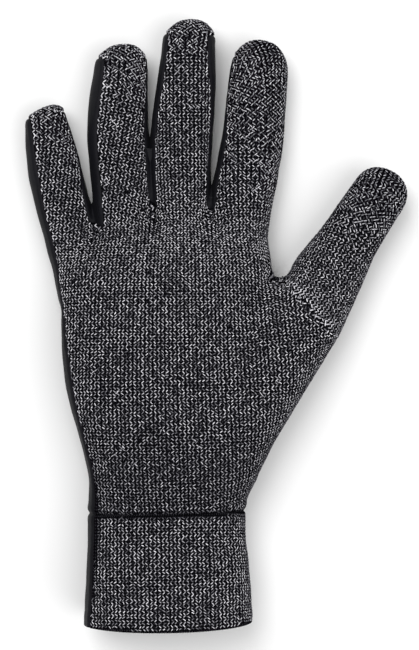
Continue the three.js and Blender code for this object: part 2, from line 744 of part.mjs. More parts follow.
// Direction along the sheet, away from a border edge and into the panel
function inwardOf(quad, a, b) {
  const middle = new THREE.Vector3();
  quad.forEach((node) => middle.addScaledVector(node.outer, 1 / quad.length));
  const edge = b.outer.clone().sub(a.outer).normalize();
  const inward = middle.sub(a.outer);
  return inward.addScaledVector(edge, -inward.dot(edge)).normalize();
}

// Step into the panel that clears both border edges at a node by half a seam gap. Where the two
// edges lie close together, as at a crotch, it runs along them.
const closeEdges = 0.8;
function cornerShift(edges) {
  const inward = new THREE.Vector3();
  const away = new THREE.Vector3();
  edges.forEach((edge) => {
    inward.add(edge.inward);
    away.add(edge.away);
  });
  const spread = inward.lengthSq() / edges.length;
  if (spread > closeEdges) return inward.multiplyScalar(seamGap / 2 / spread);
  return away.setLength((Math.sign(away.dot(inward)) * seamGap) / 2 / Math.sqrt(closeEdges));
}

// Closed sheet over some quads: an outer face, an inner face one wall further in and a rim, drawn
// back by half a seam gap along its border
function sheetGeometry(quads) {
  const borders = new Map();
  quads.forEach((quad) => quad.forEach((a, i) => {
    const b = quad[(i + 1) % quad.length];
    const other = `${b.id} ${a.id}`;
    if (borders.has(other)) borders.delete(other);
    else borders.set(`${a.id} ${b.id}`, { a, b, inward: inwardOf(quad, a, b) });
  }));
  const corners = new Map();
  borders.forEach(({ a, b, inward }) => [[a, b], [b, a]].forEach(([node, next]) => {
    const list = corners.get(node.id) ?? [];
    corners.set(node.id, [...list, { inward, away: next.outer.clone().sub(node.outer).normalize() }]);
  }));

  const numbers = new Map();
  const positions = [];
  quads.flat().forEach((node) => {
    if (numbers.has(node.id)) return;
    numbers.set(node.id, numbers.size);
    const shift = corners.has(node.id) ? cornerShift(corners.get(node.id)) : new THREE.Vector3();
    const inner = cast(node.ray, wall);
    const nudge = shift.clone();
    if (node.outer.z === 0) nudge.z = 0;
    positions.push(...node.outer.clone().add(nudge).toArray(), ...inner.add(shift).toArray());
  });

  const outer = (node) => 2 * numbers.get(node.id);
  const inner = (node) => outer(node) + 1;
  const faces = [];
  quads.forEach(([a, b, c, d]) => {
    faces.push(outer(a), outer(b), outer(c), outer(a), outer(c), outer(d));
    faces.push(inner(a), inner(c), inner(b), inner(a), inner(d), inner(c));
  });
  borders.forEach(({ a, b }) => {
    if (a.id < b.id) faces.push(outer(a), inner(a), outer(b), inner(a), inner(b), outer(b));
    else faces.push(outer(a), inner(b), outer(b), outer(a), inner(a), inner(b));
  });

  const geometry = new THREE.BufferGeometry();
  geometry.setAttribute('position', new THREE.Float32BufferAttribute(positions, 3));
  geometry.setIndex(faces);
  geometry.computeVertexNormals();
  return geometry;
}

const finishes = {
  fleck: { color: 0x434247, roughness: 0.95, metalness: 0 },
  neoprene: { color: 0x1b1b20, roughness: 0.8, metalness: 0 },
};

function panel(name, quads, finish) {
  const mesh = new THREE.Mesh(
    sheetGeometry(quads),
    new THREE.MeshStandardMaterial(finishes[finish]),
  );
  mesh.name = name;
  return mesh;
}

function palmPanel() {
  return panel('palm_panel', [
    ...netQuads(palmTop),
    ...palmSideQuads('right', belowThumb),
    ...palmSideQuads('right', aboveThumb),
    ...fingerNets.flatMap(netTop),
    ...fingerNets.flatMap(netTip),
    ...netRight(fingerNets.at(-1)),
  ], 'fleck');
}

function backPanel() {
  return panel('back_panel', [
    ...netQuads(reversed(palmBack)),
    ...palmSideQuads('left', rowNumbers),
    ...fingerNets.flatMap(netBack),
    ...netLeft(fingerNets[0]),
  ], 'neoprene');
}

function fourchette(index) {
  const names = [fingers[index].name, fingers[index + 1].name];
  return panel(`fourchette_${names.join('_')}`, [
    ...netRight(fingerNets[index]),
    ...netLeft(fingerNets[index + 1]),
  ], 'neoprene');
}

function thumbPanels() {
  const front = [...netTop(thumbMesh), ...netLeft(thumbMesh), ...netRight(thumbMesh), ...netTip(thumbMesh)];
  return [
    panel('thumb_front', front, 'fleck'),
    panel('thumb_back', netBack(thumbMesh), 'neoprene'),
  ];
}

function cuffPanels() {
  const rings = cuffRings().reverse();
  const flecked = palmQuads + sideQuads;
  return [
    panel('cuff_front', netQuads(part(rings, 0, flecked)), 'fleck'),
    panel('cuff_back', netQuads(part(rings, flecked, flecked)), 'neoprene'),
  ];
}

// The glove's origin is the middle of its footprint on the floor
function glove() {
  const group = new THREE.Group();
  group.add(palmPanel(), backPanel(), ...crotches.map((row, index) => fourchette(index)));
  group.add(...thumbPanels(), ...cuffPanels());
  const box = new THREE.Box3().setFromObject(group);
  const middle = box.getCenter(new THREE.Vector3());
  group.position.set(-middle.x, -middle.y, -box.min.z);
  return group;
}

export default glove();
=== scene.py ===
import math

import bpy
import numpy as np
from mathutils.kdtree import KDTree
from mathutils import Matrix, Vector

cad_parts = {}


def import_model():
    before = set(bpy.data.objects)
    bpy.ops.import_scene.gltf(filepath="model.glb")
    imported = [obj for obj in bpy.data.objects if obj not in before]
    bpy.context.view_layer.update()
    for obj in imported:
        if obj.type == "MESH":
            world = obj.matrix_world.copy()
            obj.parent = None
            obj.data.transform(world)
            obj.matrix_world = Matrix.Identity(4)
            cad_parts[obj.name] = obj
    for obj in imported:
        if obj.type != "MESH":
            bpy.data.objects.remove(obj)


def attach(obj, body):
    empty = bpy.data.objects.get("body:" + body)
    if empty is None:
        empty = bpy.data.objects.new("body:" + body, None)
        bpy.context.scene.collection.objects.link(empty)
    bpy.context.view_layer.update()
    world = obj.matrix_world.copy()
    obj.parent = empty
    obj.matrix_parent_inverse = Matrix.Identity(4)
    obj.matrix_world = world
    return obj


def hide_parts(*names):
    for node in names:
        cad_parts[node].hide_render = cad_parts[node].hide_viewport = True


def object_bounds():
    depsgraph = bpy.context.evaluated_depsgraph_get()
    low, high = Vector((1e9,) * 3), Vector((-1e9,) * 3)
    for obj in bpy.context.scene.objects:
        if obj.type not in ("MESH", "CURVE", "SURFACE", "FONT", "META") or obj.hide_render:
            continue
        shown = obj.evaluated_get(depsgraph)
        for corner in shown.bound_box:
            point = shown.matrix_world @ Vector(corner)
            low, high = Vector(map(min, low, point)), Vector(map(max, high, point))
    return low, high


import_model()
cad_box = [list(corner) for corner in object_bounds()]

MM = 0.001

# Sizes of the glove in millimetres, measured from the wrist seam
PALM_LENGTH = 123
PALM_WIDTH = 88
PALM_DEPTH = 39
WRIST_WIDTH = 64
WRIST_DEPTH = 35
CUFF_LENGTH = 47
CUFF_WIDTH = 68.4
CUFF_DEPTH = 41
FINGER_LENGTH = 78.6
FINGER_WIDTH = 25
FINGER_DEPTH = 21
THUMB_LENGTH = 65.8
THUMB_WIDTH = 24
THUMB_DEPTH = 21
WALL = 3
PRESS = 1.6
CROTCH_BLEND = 2.4
KNUCKLE_BLEND = 6
THUMB_BLEND = 8
FLOOR_BLEND = 1.4
PALM_POWER = 2.35
FINGER_POWER = 2.2
DEGREES = math.pi / 180
UP = np.array([0.0, 0.0, 1.0])
FORWARD = np.array([0.0, 1.0, 0.0])


def table(columns, rows):
    return {name: np.array([row[i] for row in rows], float) for i, name in enumerate(columns)}


# Sections of the palm and cuff as shares of the palm's length, width and depth
palm = table(("along", "left", "right", "depth"), [
    (0.11, -0.362, 0.392, 0.97),
    (0.25, -0.406, 0.437, 1.0),
    (0.41, -0.462, 0.466, 0.97),
    (0.57, -0.49, 0.485, 0.9),
    (0.77, -0.487, 0.482, 0.78),
    (0.95, -0.5, 0.465, 0.66),
])
cuff = table(("along", "left", "right", "depth"), [
    (-CUFF_LENGTH, -0.493 * CUFF_WIDTH, 0.507 * CUFF_WIDTH, CUFF_DEPTH),
    (-CUFF_LENGTH / 2, -0.508 * WRIST_WIDTH, 0.521 * WRIST_WIDTH, 0.95 * CUFF_DEPTH),
    (0, -WRIST_WIDTH / 2, WRIST_WIDTH / 2, WRIST_DEPTH),
])
TRUNK = {
    "along": np.concatenate([cuff["along"], palm["along"] * PALM_LENGTH]),
    "left": np.concatenate([cuff["left"], palm["left"] * PALM_WIDTH]),
    "right": np.concatenate([cuff["right"], palm["right"] * PALM_WIDTH]),
    "depth": np.concatenate([cuff["depth"], palm["depth"] * PALM_DEPTH]),
}
KNUCKLE_LOW = 0.92 * PALM_LENGTH
KNUCKLE_HIGH = 0.99 * PALM_LENGTH
KNUCKLE_REACH = 0.18 * PALM_LENGTH

# Sections of each finger: place along it, reach to its left and right, depth, lift of its
# underside, and the strips of side panel that show from above
SECTION = ("at", "left", "right", "depth", "lift", "left_strip", "right_strip")
FINGER_SECTIONS = {
    "pinky": table(SECTION, [
        (-0.45, 0.5, 0.45, 1.1, 0, 0.145, 0.01),
        (0.0, 0.545, 0.445, 1.08, 0, 0.15, 0.01),
        (0.4, 0.565, 0.41, 1.0, 0.02, 0.215, 0.01),
        (0.6, 0.54, 0.41, 0.95, 0.06, 0.185, 0.01),
        (0.8, 0.46, 0.38, 0.87, 0.13, 0.165, 0.01),
        (0.95, 0.38, 0.35, 0.78, 0.21, 0.08, 0.01),
    ]),
    "ring": table(SECTION, [
        (-0.35, 0.5, 0.47, 1.12, 0, 0.2, 0.01),
        (0.0, 0.53, 0.46, 1.08, 0, 0.2, 0.01),
        (0.25, 0.575, 0.42, 1.02, 0.01, 0.21, 0.01),
        (0.5, 0.62, 0.385, 0.97, 0.05, 0.255, 0.01),
        (0.7, 0.572, 0.39, 0.92, 0.11, 0.25, 0.01),
        (0.85, 0.49, 0.398, 0.85, 0.17, 0.18, 0.01),
        (0.97, 0.42, 0.39, 0.79, 0.23, 0.1, 0.01),
    ]),
    "middle": table(SECTION, [
        (-0.35, 0.47, 0.47, 1.1, 0, 0.12, 0.05),
        (0.0, 0.5, 0.43, 1.06, 0, 0.12, 0.05),
        (0.25, 0.55, 0.44, 1.0, 0.01, 0.13, 0.05),
        (0.45, 0.552, 0.462, 0.97, 0.05, 0.14, 0.05),
        (0.65, 0.495, 0.478, 0.92, 0.11, 0.12, 0.09),
        (0.85, 0.432, 0.46, 0.84, 0.18, 0.1, 0.13),
        (0.97, 0.4, 0.44, 0.78, 0.24, 0.07, 0.08),
    ]),
    "index": table(SECTION, [
        (-0.45, 0.45, 0.45, 1.12, 0, 0.11, 0.107),
        (0.0, 0.49, 0.49, 1.08, 0, 0.11, 0.107),
        (0.2, 0.465, 0.54, 1.03, 0.01, 0.11, 0.107),
        (0.42, 0.41, 0.588, 0.98, 0.05, 0.08, 0.107),
        (0.6, 0.387, 0.572, 0.93, 0.1, 0.01, 0.107),
        (0.8, 0.37, 0.552, 0.87, 0.16, 0.01, 0.107),
        (0.93, 0.34, 0.51, 0.81, 0.22, 0.01, 0.107),
    ]),
    "thumb": table(SECTION[:5], [
        (-1.05, 0.7, 0.74, 1.62, 0.05),
        (-0.5, 0.74, 0.69, 1.68, 0.07),
        (-0.05, 0.72, 0.69, 1.36, 0.12),
        (0.12, 0.65, 0.635, 1.2, 0.15),
        (0.3, 0.596, 0.567, 1.08, 0.18),
        (0.5, 0.529, 0.496, 1.0, 0.21),
        (0.7, 0.49, 0.478, 0.94, 0.24),
        (0.9, 0.46, 0.45, 0.86, 0.28),
    ]),
}


# A tube's rays start this share of its width from the tip, or further in
LEAST_TIP = 0.4


class Tube:
    """A finger or thumb tube: root, line and direction to its right."""

    def __init__(self, name, length, width, depth, across, along, lean, tip, slant):
        self.length, self.width, self.depth, self.slant = length, width, depth, slant
        self.sections = FINGER_SECTIONS[name]
        self.root = np.array([across * PALM_WIDTH, along * PALM_LENGTH, 0.0])
        self.line = np.array([math.sin(lean * DEGREES), math.cos(lean * DEGREES), 0.0])
        self.right = np.array([math.cos(lean * DEGREES), -math.sin(lean * DEGREES), 0.0])
        self.tip_reach = tip * width
        self.deep_end = length - max(self.tip_reach, LEAST_TIP * width)

    def column(self, name, along):
        return look_up(self.sections, "at", np.asarray(along) / self.length, name)

    def section(self, along):
        left = self.column("left", along) * self.width
        right = self.column("right", along) * self.width
        lift = self.column("lift", along)
        low = lift * self.depth - PRESS
        high = (lift + self.column("depth", along)) * self.depth
        return (right - left) / 2, (right + left) / 2, (high + low) / 2, (high - low) / 2

    def centre(self, along):
        shift, _, middle, _ = self.section(along)
        at = self.root + np.multiply.outer(along, self.line) + np.multiply.outer(shift, self.right)
        at[..., 2] = middle
        return at

    def distance(self, points):
        offset = points - self.root
        along = offset @ self.line
        across = offset @ self.right
        shift, half_width, middle, half_depth = self.section(along)
        start = self.sections["at"][0] * self.length
        past_tip = along - self.slant * across - (self.length - self.tip_reach)
        past = np.where(along < start, start - along, past_tip)
        return oval_distance(across - shift, points[..., 2] - middle, past, half_width, half_depth,
                             self.tip_reach, FINGER_POWER)


def look_up(rows, key, place, column):
    """Value of a table's column at places between its rows, by a smooth curve through the rows."""
    keys, values = rows[key], rows[column]
    slopes = np.empty_like(values)
    slopes[1:-1] = (values[2:] - values[:-2]) / (keys[2:] - keys[:-2])
    slopes[0] = (values[1] - values[0]) / (keys[1] - keys[0])
    slopes[-1] = (values[-1] - values[-2]) / (keys[-1] - keys[-2])
    place = np.clip(place, keys[0], keys[-1])
    i = np.clip(np.searchsorted(keys, place) - 1, 0, len(keys) - 2)
    span = keys[i + 1] - keys[i]
    t = (place - keys[i]) / span
    rise = values[i + 1] - values[i]
    bend = t * (1 - t) * ((1 - t) * (slopes[i] * span - rise) - t * (slopes[i + 1] * span - rise))
    return values[i] + t * rise + bend


def oval_distance(across, rise, past, half_width, half_depth, reach, power):
    """About how far points lie outside a rounded section with a rounded end."""
    core = 0.05
    u = np.abs(across) / half_width
    w = np.abs(rise) / half_depth
    q = np.maximum(past, 0) / reach
    size = np.maximum((u**power + w**power + q**power) ** (1 / power), core)
    steep = np.sqrt((u ** (power - 1) / half_width) ** 2 + (w ** (power - 1) / half_depth) ** 2
                    + (q ** (power - 1) / reach) ** 2)
    inside = -np.minimum(half_width, half_depth)
    return np.where(size <= core, inside, (size - 1) * size ** (power - 1) / np.maximum(steep, 1e-9))


def blend(a, b, radius):
    share = np.maximum(radius - np.abs(a - b), 0) / radius
    return np.minimum(a, b) - share * share * radius / 4


FINGERS = [
    Tube("pinky", 0.677 * FINGER_LENGTH, 0.904 * FINGER_WIDTH, 0.857 * FINGER_DEPTH,
         -0.439, 0.925, -13.3, 0.2, 0.16),
    Tube("ring", 0.924 * FINGER_LENGTH, FINGER_WIDTH, 0.952 * FINGER_DEPTH,
         -0.189, 0.967, -1.3, 0.36, 0.06),
    Tube("middle", FINGER_LENGTH, FINGER_WIDTH, FINGER_DEPTH, 0.074, 0.999, 1.6, 0.4, 0.1),
    Tube("index", 0.897 * FINGER_LENGTH, 1.024 * FINGER_WIDTH, 0.976 * FINGER_DEPTH,
         0.342, 0.999, 5.3, 0.44, 0),
]
THUMB = Tube("thumb", THUMB_LENGTH, THUMB_WIDTH, THUMB_DEPTH, 0.653, 0.672, 32.3, 0.42, 0)
THUMB_SEAM = (-0.06 * THUMB.length, 0.06 * THUMB.length)
CROTCHES = [(-0.295, 0.935), (-0.055, 0.99), (0.212, 0.985)]
BACK_CROTCH_DROP = 0.035 * PALM_LENGTH

# Rows of the palm's net: where each meets the left and the thumb-side edge, and its black strip
PALM_ROWS = [
    (0, 0.008, 0.034), (0.08, 0.085, 0.033), (0.17, 0.18, 0.031), (0.27, 0.29, 0.03),
    (0.37, 0.4, 0.034), (0.46, 0.5, 0.037), (0.54, None, 0.029), (0.6, None, 0.02),
    (0.66, None, 0.013), (0.715, None, 0.011), (0.765, None, 0.013), (0.815, None, 0.019),
    (0.862, 0.875, 0.026), (0.905, 0.955, 0.031),
]
THUMB_ROWS = [i for i, row in enumerate(PALM_ROWS) if row[1] is None]
LAST_ROW = len(PALM_ROWS) - 1
TOP_QUADS = 4
SIDE_QUADS = 4
FINGER_QUADS = 8
THUMB_QUADS = 7
CUFF_QUADS = 4
PALM_QUADS = len(FINGERS) * TOP_QUADS
THUMB_TOP_QUADS = len(THUMB_ROWS) - 1
BACK_SEAM = 45 * DEGREES
THUMB_SIDE = 38 * DEGREES


def trunk_section(along):
    left, right, depth = (look_up(TRUNK, "along", along, name) for name in ("left", "right", "depth"))
    return (left + right) / 2, (right - left) / 2, (depth - PRESS) / 2, (depth + PRESS) / 2


def trunk_distance(points):
    shift, half_width, middle, half_depth = trunk_section(points[..., 1])
    share = np.clip(points[..., 0] / PALM_WIDTH + 0.5, 0, 1)
    end = KNUCKLE_LOW + (KNUCKLE_HIGH - KNUCKLE_LOW) * share
    return oval_distance(points[..., 0] - shift, points[..., 2] - middle,
                         points[..., 1] - (end - KNUCKLE_REACH), half_width, half_depth,
                         KNUCKLE_REACH, PALM_POWER)


def form_distance(points):
    hand = FINGERS[0].distance(points)
    for tube in FINGERS[1:]:
        hand = blend(hand, tube.distance(points), CROTCH_BLEND)
    whole = blend(hand, trunk_distance(points), KNUCKLE_BLEND)
    whole = blend(whole, THUMB.distance(points), THUMB_BLEND)
    return -blend(-whole, points[..., 2], FLOOR_BLEND)


def form_normal(points):
    step = 0.02
    gradient = np.stack([
        form_distance(points + step * axis) - form_distance(points - step * axis) for axis in np.eye(3)
    ], axis=-1)
    return gradient / np.maximum(np.linalg.norm(gradient, axis=-1, keepdims=True), 1e-12)


def unit(vectors):
    return vectors / np.maximum(np.linalg.norm(vectors, axis=-1, keepdims=True), 1e-12)


# Search along a ray: share of the distance left, least step and number of steps
RAY_SHARE = 0.6
RAY_STEP = 0.2
RAY_STEPS = 400
HALVINGS = 20
FLOOR_SNAP = 0.02


def halve(near, far, holds):
    """Places up to which holds is true, between near and far."""
    for _ in range(HALVINGS):
        middle = (near + far) / 2
        held = holds(middle)
        near = np.where(held, middle, near)
        far = np.where(held, far, middle)
    return (near + far) / 2


def cast(origins, ways):
    """Points where rays leave the form."""
    ways = unit(ways)

    def distance_at(reach):
        return form_distance(origins + reach[:, None] * ways)

    near = np.zeros(len(origins))
    far = np.zeros(len(origins))
    left = -form_distance(origins)
    for _ in range(RAY_STEPS):
        going = (left > 0) & (far < PALM_LENGTH)
        if not going.any():
            break
        near = np.where(going, far, near)
        far = np.where(going, far + np.maximum(RAY_SHARE * left, RAY_STEP), far)
        left = np.where(going, -distance_at(far), left)
    points = origins + halve(near, far, lambda reach: distance_at(reach) < 0)[:, None] * ways
    points[np.abs(points[:, 2]) < FLOOR_SNAP, 2] = 0
    return points


# Nodes of the net: where each lies and the point inside that its ray starts from
node_at = []
node_from = []


def towards(origins, targets):
    """New nodes on rays from points inside, through targets. Returns their numbers."""
    origins = np.broadcast_to(origins, np.shape(targets)).reshape(-1, 3)
    first = len(node_at)
    node_at.extend(cast(origins, np.reshape(targets, (-1, 3)) - origins))
    node_from.extend(origins)
    return np.arange(first, len(node_at)).reshape(np.shape(targets)[:-1])


def at(nodes):
    return np.array(node_at)[nodes]


# How far side fans bulge outward, and where the rays of the edges and crotches start from
FAN_BULGE = 2.2
EDGE_INSIDE = 0.9
THUMB_CROTCH_INSIDE = 0.6
CROTCH_INSIDE = 0.11 * PALM_LENGTH
WEB_SEARCH = 0.5 * PALM_LENGTH
WEB_STEP = 0.1


def fans(origins, tops, bottoms, outward):
    """Nodes between top and bottom nodes, fanned about points inside. Shape: fans x nodes."""
    first = unit(at(tops) - origins)
    last = unit(at(bottoms) - origins)
    t = (np.arange(1, SIDE_QUADS) / SIDE_QUADS)[None, :, None]
    ways = first[:, None] * (1 - t) + last[:, None] * t + outward[:, None] * FAN_BULGE * t * (1 - t)
    inner = towards(np.repeat(origins[:, None], SIDE_QUADS - 1, 1), origins[:, None] + ways)
    return np.concatenate([tops[:, None], inner, bottoms[:, None]], axis=1)


def trunk_sides(along, side, strips=None):
    """Side fans of the palm's rows on one side, from the top of the edge round to the bottom."""
    along = np.asarray(along, float) * PALM_LENGTH
    shift, _, middle, half_depth = trunk_section(along)
    centre = np.stack([shift, along, middle], axis=1)
    outward = np.tile([side, 0.0, 0.0], (len(along), 1))
    widest = cast(centre, outward)
    inside = widest - EDGE_INSIDE * half_depth[:, None] * outward

    def turned(angle):
        return inside + outward * math.cos(angle) + UP * math.sin(angle)

    if strips is None:
        tops = towards(inside, turned(THUMB_SIDE))
    else:
        below = widest - outward * np.asarray(strips)[:, None] * PALM_WIDTH
        tops = towards(inside, cast(below, np.tile(UP, (len(along), 1))))
    bottoms = towards(inside, turned(-BACK_SEAM))
    return fans(inside, tops, bottoms, outward)


def tube_points(tube, along, angle):
    _, half_width, _, half_depth = tube.section(along)
    ways = (tube.right * (np.cos(angle) * half_width)[..., None]
            + UP * (np.sin(angle) * half_depth)[..., None])
    centre = tube.centre(along)
    return cast(centre.reshape(-1, 3), ways.reshape(-1, 3)).reshape(centre.shape)


def thumb_opening():
    t = np.arange(THUMB_TOP_QUADS + 1) / THUMB_TOP_QUADS
    along = THUMB_SEAM[0] + (THUMB_SEAM[1] - THUMB_SEAM[0]) * t
    angle = THUMB_SIDE + (math.pi - 2 * THUMB_SIDE) * t
    crotch_way = unit(FORWARD + THUMB.line)
    arcs = [tube_points(THUMB, along, sign * angle) for sign in (1, -1)]
    crotch_from = (arcs[0][-1] + arcs[1][-1]) / 2 - crotch_way * THUMB_CROTCH_INSIDE * THUMB.width
    outer_from = THUMB.centre(np.array(THUMB_SEAM[0]))
    inside = outer_from + (crotch_from - outer_from) * t[:, None]
    top, bottom = (towards(inside, arc) for arc in arcs)
    outer, crotch = fans(np.array([outer_from, crotch_from]), top[[0, -1]], bottom[[0, -1]],
                         np.array([THUMB.right, crotch_way]))
    return top, bottom, outer, crotch


opening_top, opening_bottom, opening_outer, opening_crotch = thumb_opening()
left_sides = trunk_sides([row[0] for row in PALM_ROWS], -1, [row[2] for row in PALM_ROWS])
full_rows = [i for i, row in enumerate(PALM_ROWS) if row[1] is not None]
right_full = trunk_sides([PALM_ROWS[i][1] for i in full_rows], 1)
right_sides = {i: list(right_full[k]) for k, i in enumerate(full_rows)}
for place, i in enumerate(THUMB_ROWS):
    right_sides[i] = [opening_top[place], opening_bottom[place]]
right_sides[THUMB_ROWS[0]] = list(opening_outer)
right_sides[THUMB_ROWS[-1]] = list(opening_crotch)
left_sides = [list(row) for row in left_sides]


def gap_points(left, right, along, height):
    """Points half way between two finger tubes, at places along the hand and a height."""
    def line_at(tube):
        return tube.root[0] + (along - tube.root[1]) * tube.line[0] / tube.line[1]

    def place(across):
        return np.stack([across, along, np.full_like(along, height)], axis=1)

    def in_left(across):
        return left.distance(place(across)) < right.distance(place(across))

    return place(halve(line_at(left), line_at(right), in_left))


def web_end(left, right, start, height):
    """First point between two finger tubes that lies outside the form."""
    along = start + np.arange(0, WEB_SEARCH, WEB_STEP)
    points = gap_points(left, right, along, height)
    free = form_distance(points) >= 0
    return points[np.argmax(free) if free.any() else -1]


def crotch_fans():
    found = []
    for index, (across, along) in enumerate(CROTCHES):
        left, right = FINGERS[index], FINGERS[index + 1]
        inside = np.array([across * PALM_WIDTH, along * PALM_LENGTH, float(left.section(0.0)[2])])
        back = inside - FORWARD * BACK_CROTCH_DROP
        origin = inside - FORWARD * CROTCH_INSIDE
        ends = np.array([cast(inside[None], UP[None])[0], cast(back[None], -UP[None])[0]])
        top, bottom = towards(origin, ends)
        first, last = at(top), at(bottom)
        targets = []
        for i in range(1, SIDE_QUADS):
            share = i / SIDE_QUADS
            start = first[1] + (last[1] - first[1]) * share
            height = first[2] + (last[2] - first[2]) * share
            targets.append(web_end(left, right, start, height))
        inner = towards(origin, np.array(targets))
        found.append([top, *inner, bottom])
    return found


crotch_nodes = crotch_fans()
EVEN_START = 0.12
# How quickly the rows' spacing and their bend follow the crotches towards the fingers
SPACING_POWER = 1.5
BEND_POWER = 3


def even_share(t):
    return (1 - np.cos((EVEN_START + (1 - 2 * EVEN_START) * t) * math.pi)) / 2


def face_nodes(points, side, inside):
    """Nodes straight above or below points in plan, on rays from deep inside the form."""
    origins = np.column_stack([points[:, 0], points[:, 1], inside[:, 2]])
    outer = cast(origins, np.tile(UP * side, (len(points), 1)))
    return towards(np.column_stack([inside[:, 0], points[:, 1], inside[:, 2]]), outer)


def last_knots(pick):
    """Nodes of the palm's last row at its two edges and at the crotches."""
    return [left_sides[-1][pick], *[fan[pick] for fan in crotch_nodes], right_sides[LAST_ROW][pick]]


def across_nodes(side):
    """Nodes across the palm or the back between its two sides."""
    pick = 0 if side > 0 else -1
    knots = at(last_knots(pick))
    width = knots[-1][0] - knots[0][0]
    points, inside = [], []
    for index in range(LAST_ROW):
        first, last = left_sides[index][pick], right_sides[index][pick]
        row_share = PALM_ROWS[index][0] / PALM_ROWS[-1][0]
        for i in range(1, PALM_QUADS):
            finger, t = divmod(i, TOP_QUADS)
            t /= TOP_QUADS
            knot = knots[finger] * (1 - t) + knots[min(finger + 1, 4)] * t
            crotch_share = (knot[0] - knots[0][0]) / width
            even = (even_share(i / PALM_QUADS) - even_share(0)) / (even_share(1) - even_share(0))
            share = even + (crotch_share - even) * row_share**SPACING_POWER
            straight = knots[0][1] + (knots[-1][1] - knots[0][1]) * crotch_share
            point = node_at[first] * (1 - share) + node_at[last] * share
            point[1] += (knot[1] - straight) * row_share**BEND_POWER
            points.append(point)
            inside.append(node_from[first] * (1 - share) + node_from[last] * share)
    nodes = face_nodes(np.array(points), side, np.array(inside)).reshape(LAST_ROW, PALM_QUADS - 1)
    rows = [[left_sides[i][pick], *nodes[i], right_sides[i][pick]] for i in range(LAST_ROW)]
    return [*rows, crotch_line(pick, side)]


def crotch_line(pick, side):
    """Nodes of the palm's last row, through the crotches."""
    knots = last_knots(pick)
    line = [knots[0]]
    for finger, tube in enumerate(FINGERS):
        t = np.arange(1, TOP_QUADS)[:, None] / TOP_QUADS
        points = node_at[knots[finger]] * (1 - t) + node_at[knots[finger + 1]] * t
        root = np.column_stack([(tube.root[0] + points[:, 0]) / 2, np.full(len(points), tube.root[1]),
                                np.full(len(points), float(tube.section(0.0)[2]))])
        line += [*face_nodes(points, side, root), knots[finger + 1]]
    return line


palm_top = across_nodes(1)
palm_back = across_nodes(-1)


def strip_angle(strip, half_width):
    return np.arccos(1 - strip / half_width)


def ring_angles(across, top_left, top_right):
    """Angles of a ring's nodes, from the angles of its two upper seams. Shape: rings x nodes."""
    back_right, back_left = -BACK_SEAM, -math.pi + BACK_SEAM
    angles = []
    for k in range(2 * (across + SIDE_QUADS)):
        if k <= across:
            angles.append(top_left + (top_right - top_left) * k / across)
        elif k <= across + SIDE_QUADS:
            angles.append(top_right + (back_right - top_right) * (k - across) / SIDE_QUADS)
        elif k <= 2 * across + SIDE_QUADS:
            share = (k - across - SIDE_QUADS) / across
            angles.append(back_right + (back_left - back_right) * share + 0 * top_left)
        else:
            share = (k - 2 * across - SIDE_QUADS) / SIDE_QUADS
            angles.append(back_left + (top_left - 2 * math.pi - back_left) * share)
    return np.array(angles)


def smoothstep(x, low, high):
    t = np.clip((x - low) / (high - low), 0, 1)
    return t * t * (3 - 2 * t)


# Share of a tube over which its rings settle into its own angles, and of its tip past the rings
SETTLE_SHARE = 0.35
TIP_SHARE = 0.62


def tube_rings(tube, root_ring, angles, quads):
    """Rings of nodes along a tube, from the ring at its root."""
    offset = at(root_ring) - tube.root
    start = offset @ tube.line
    free_from = start.max()
    settled = free_from + SETTLE_SHARE * tube.length
    last_along = tube.length - TIP_SHARE * tube.tip_reach
    t = np.arange(1, quads + 1)[:, None] / quads
    along = start + (last_along - start) * t
    shift, half_width, middle, half_depth = tube.section(start)
    across = offset @ tube.right - shift
    turn = np.arctan2((offset[:, 2] - middle) / half_depth, across / half_width)
    target = np.array([angles(along[j])[np.arange(len(root_ring)), np.arange(len(root_ring))]
                       for j in range(quads)])
    drift = turn - target
    drift -= 2 * math.pi * np.round(drift / (2 * math.pi))
    angle = target + drift * (1 - smoothstep(along, free_from, settled))
    points = tube_points(tube, along, angle)
    inside = tube.centre(np.minimum(along, tube.deep_end))
    return [list(root_ring), *[list(row) for row in towards(inside, points)]]


def tip_net(tube, ring, across):
    """Net over a tip, whose border is the last ring: rows of nodes from its top edge to its bottom."""
    down = SIDE_QUADS
    top = ring[:across + 1]
    right = ring[across:across + down + 1]
    bottom = ring[across + down:2 * across + down + 1][::-1]
    left = [ring[0], *ring[2 * across + down:][::-1]]
    rows = np.zeros((down + 1, across + 1), int)
    rows[0], rows[-1], rows[:, 0], rows[:, -1] = top, bottom, left, right
    u = (np.arange(1, across) / across)[None, :, None]
    v = (np.arange(1, down) / down)[:, None, None]
    edge = at(rows)
    flat = edge[0, 1:-1] * (1 - v) + edge[-1, 1:-1] * v
    wide = edge[1:-1, :1] * (1 - u) + edge[1:-1, -1:] * u
    corners = ((edge[0, 0] * (1 - u) + edge[0, -1] * u) * (1 - v)
               + (edge[-1, 0] * (1 - u) + edge[-1, -1] * u) * v)
    dome = 16 * u * (1 - u) * v * (1 - v)
    points = flat + wide - corners + dome * tube.tip_reach * tube.line
    rows[1:-1, 1:-1] = towards(tube.centre(np.array(tube.deep_end)), points)
    return rows


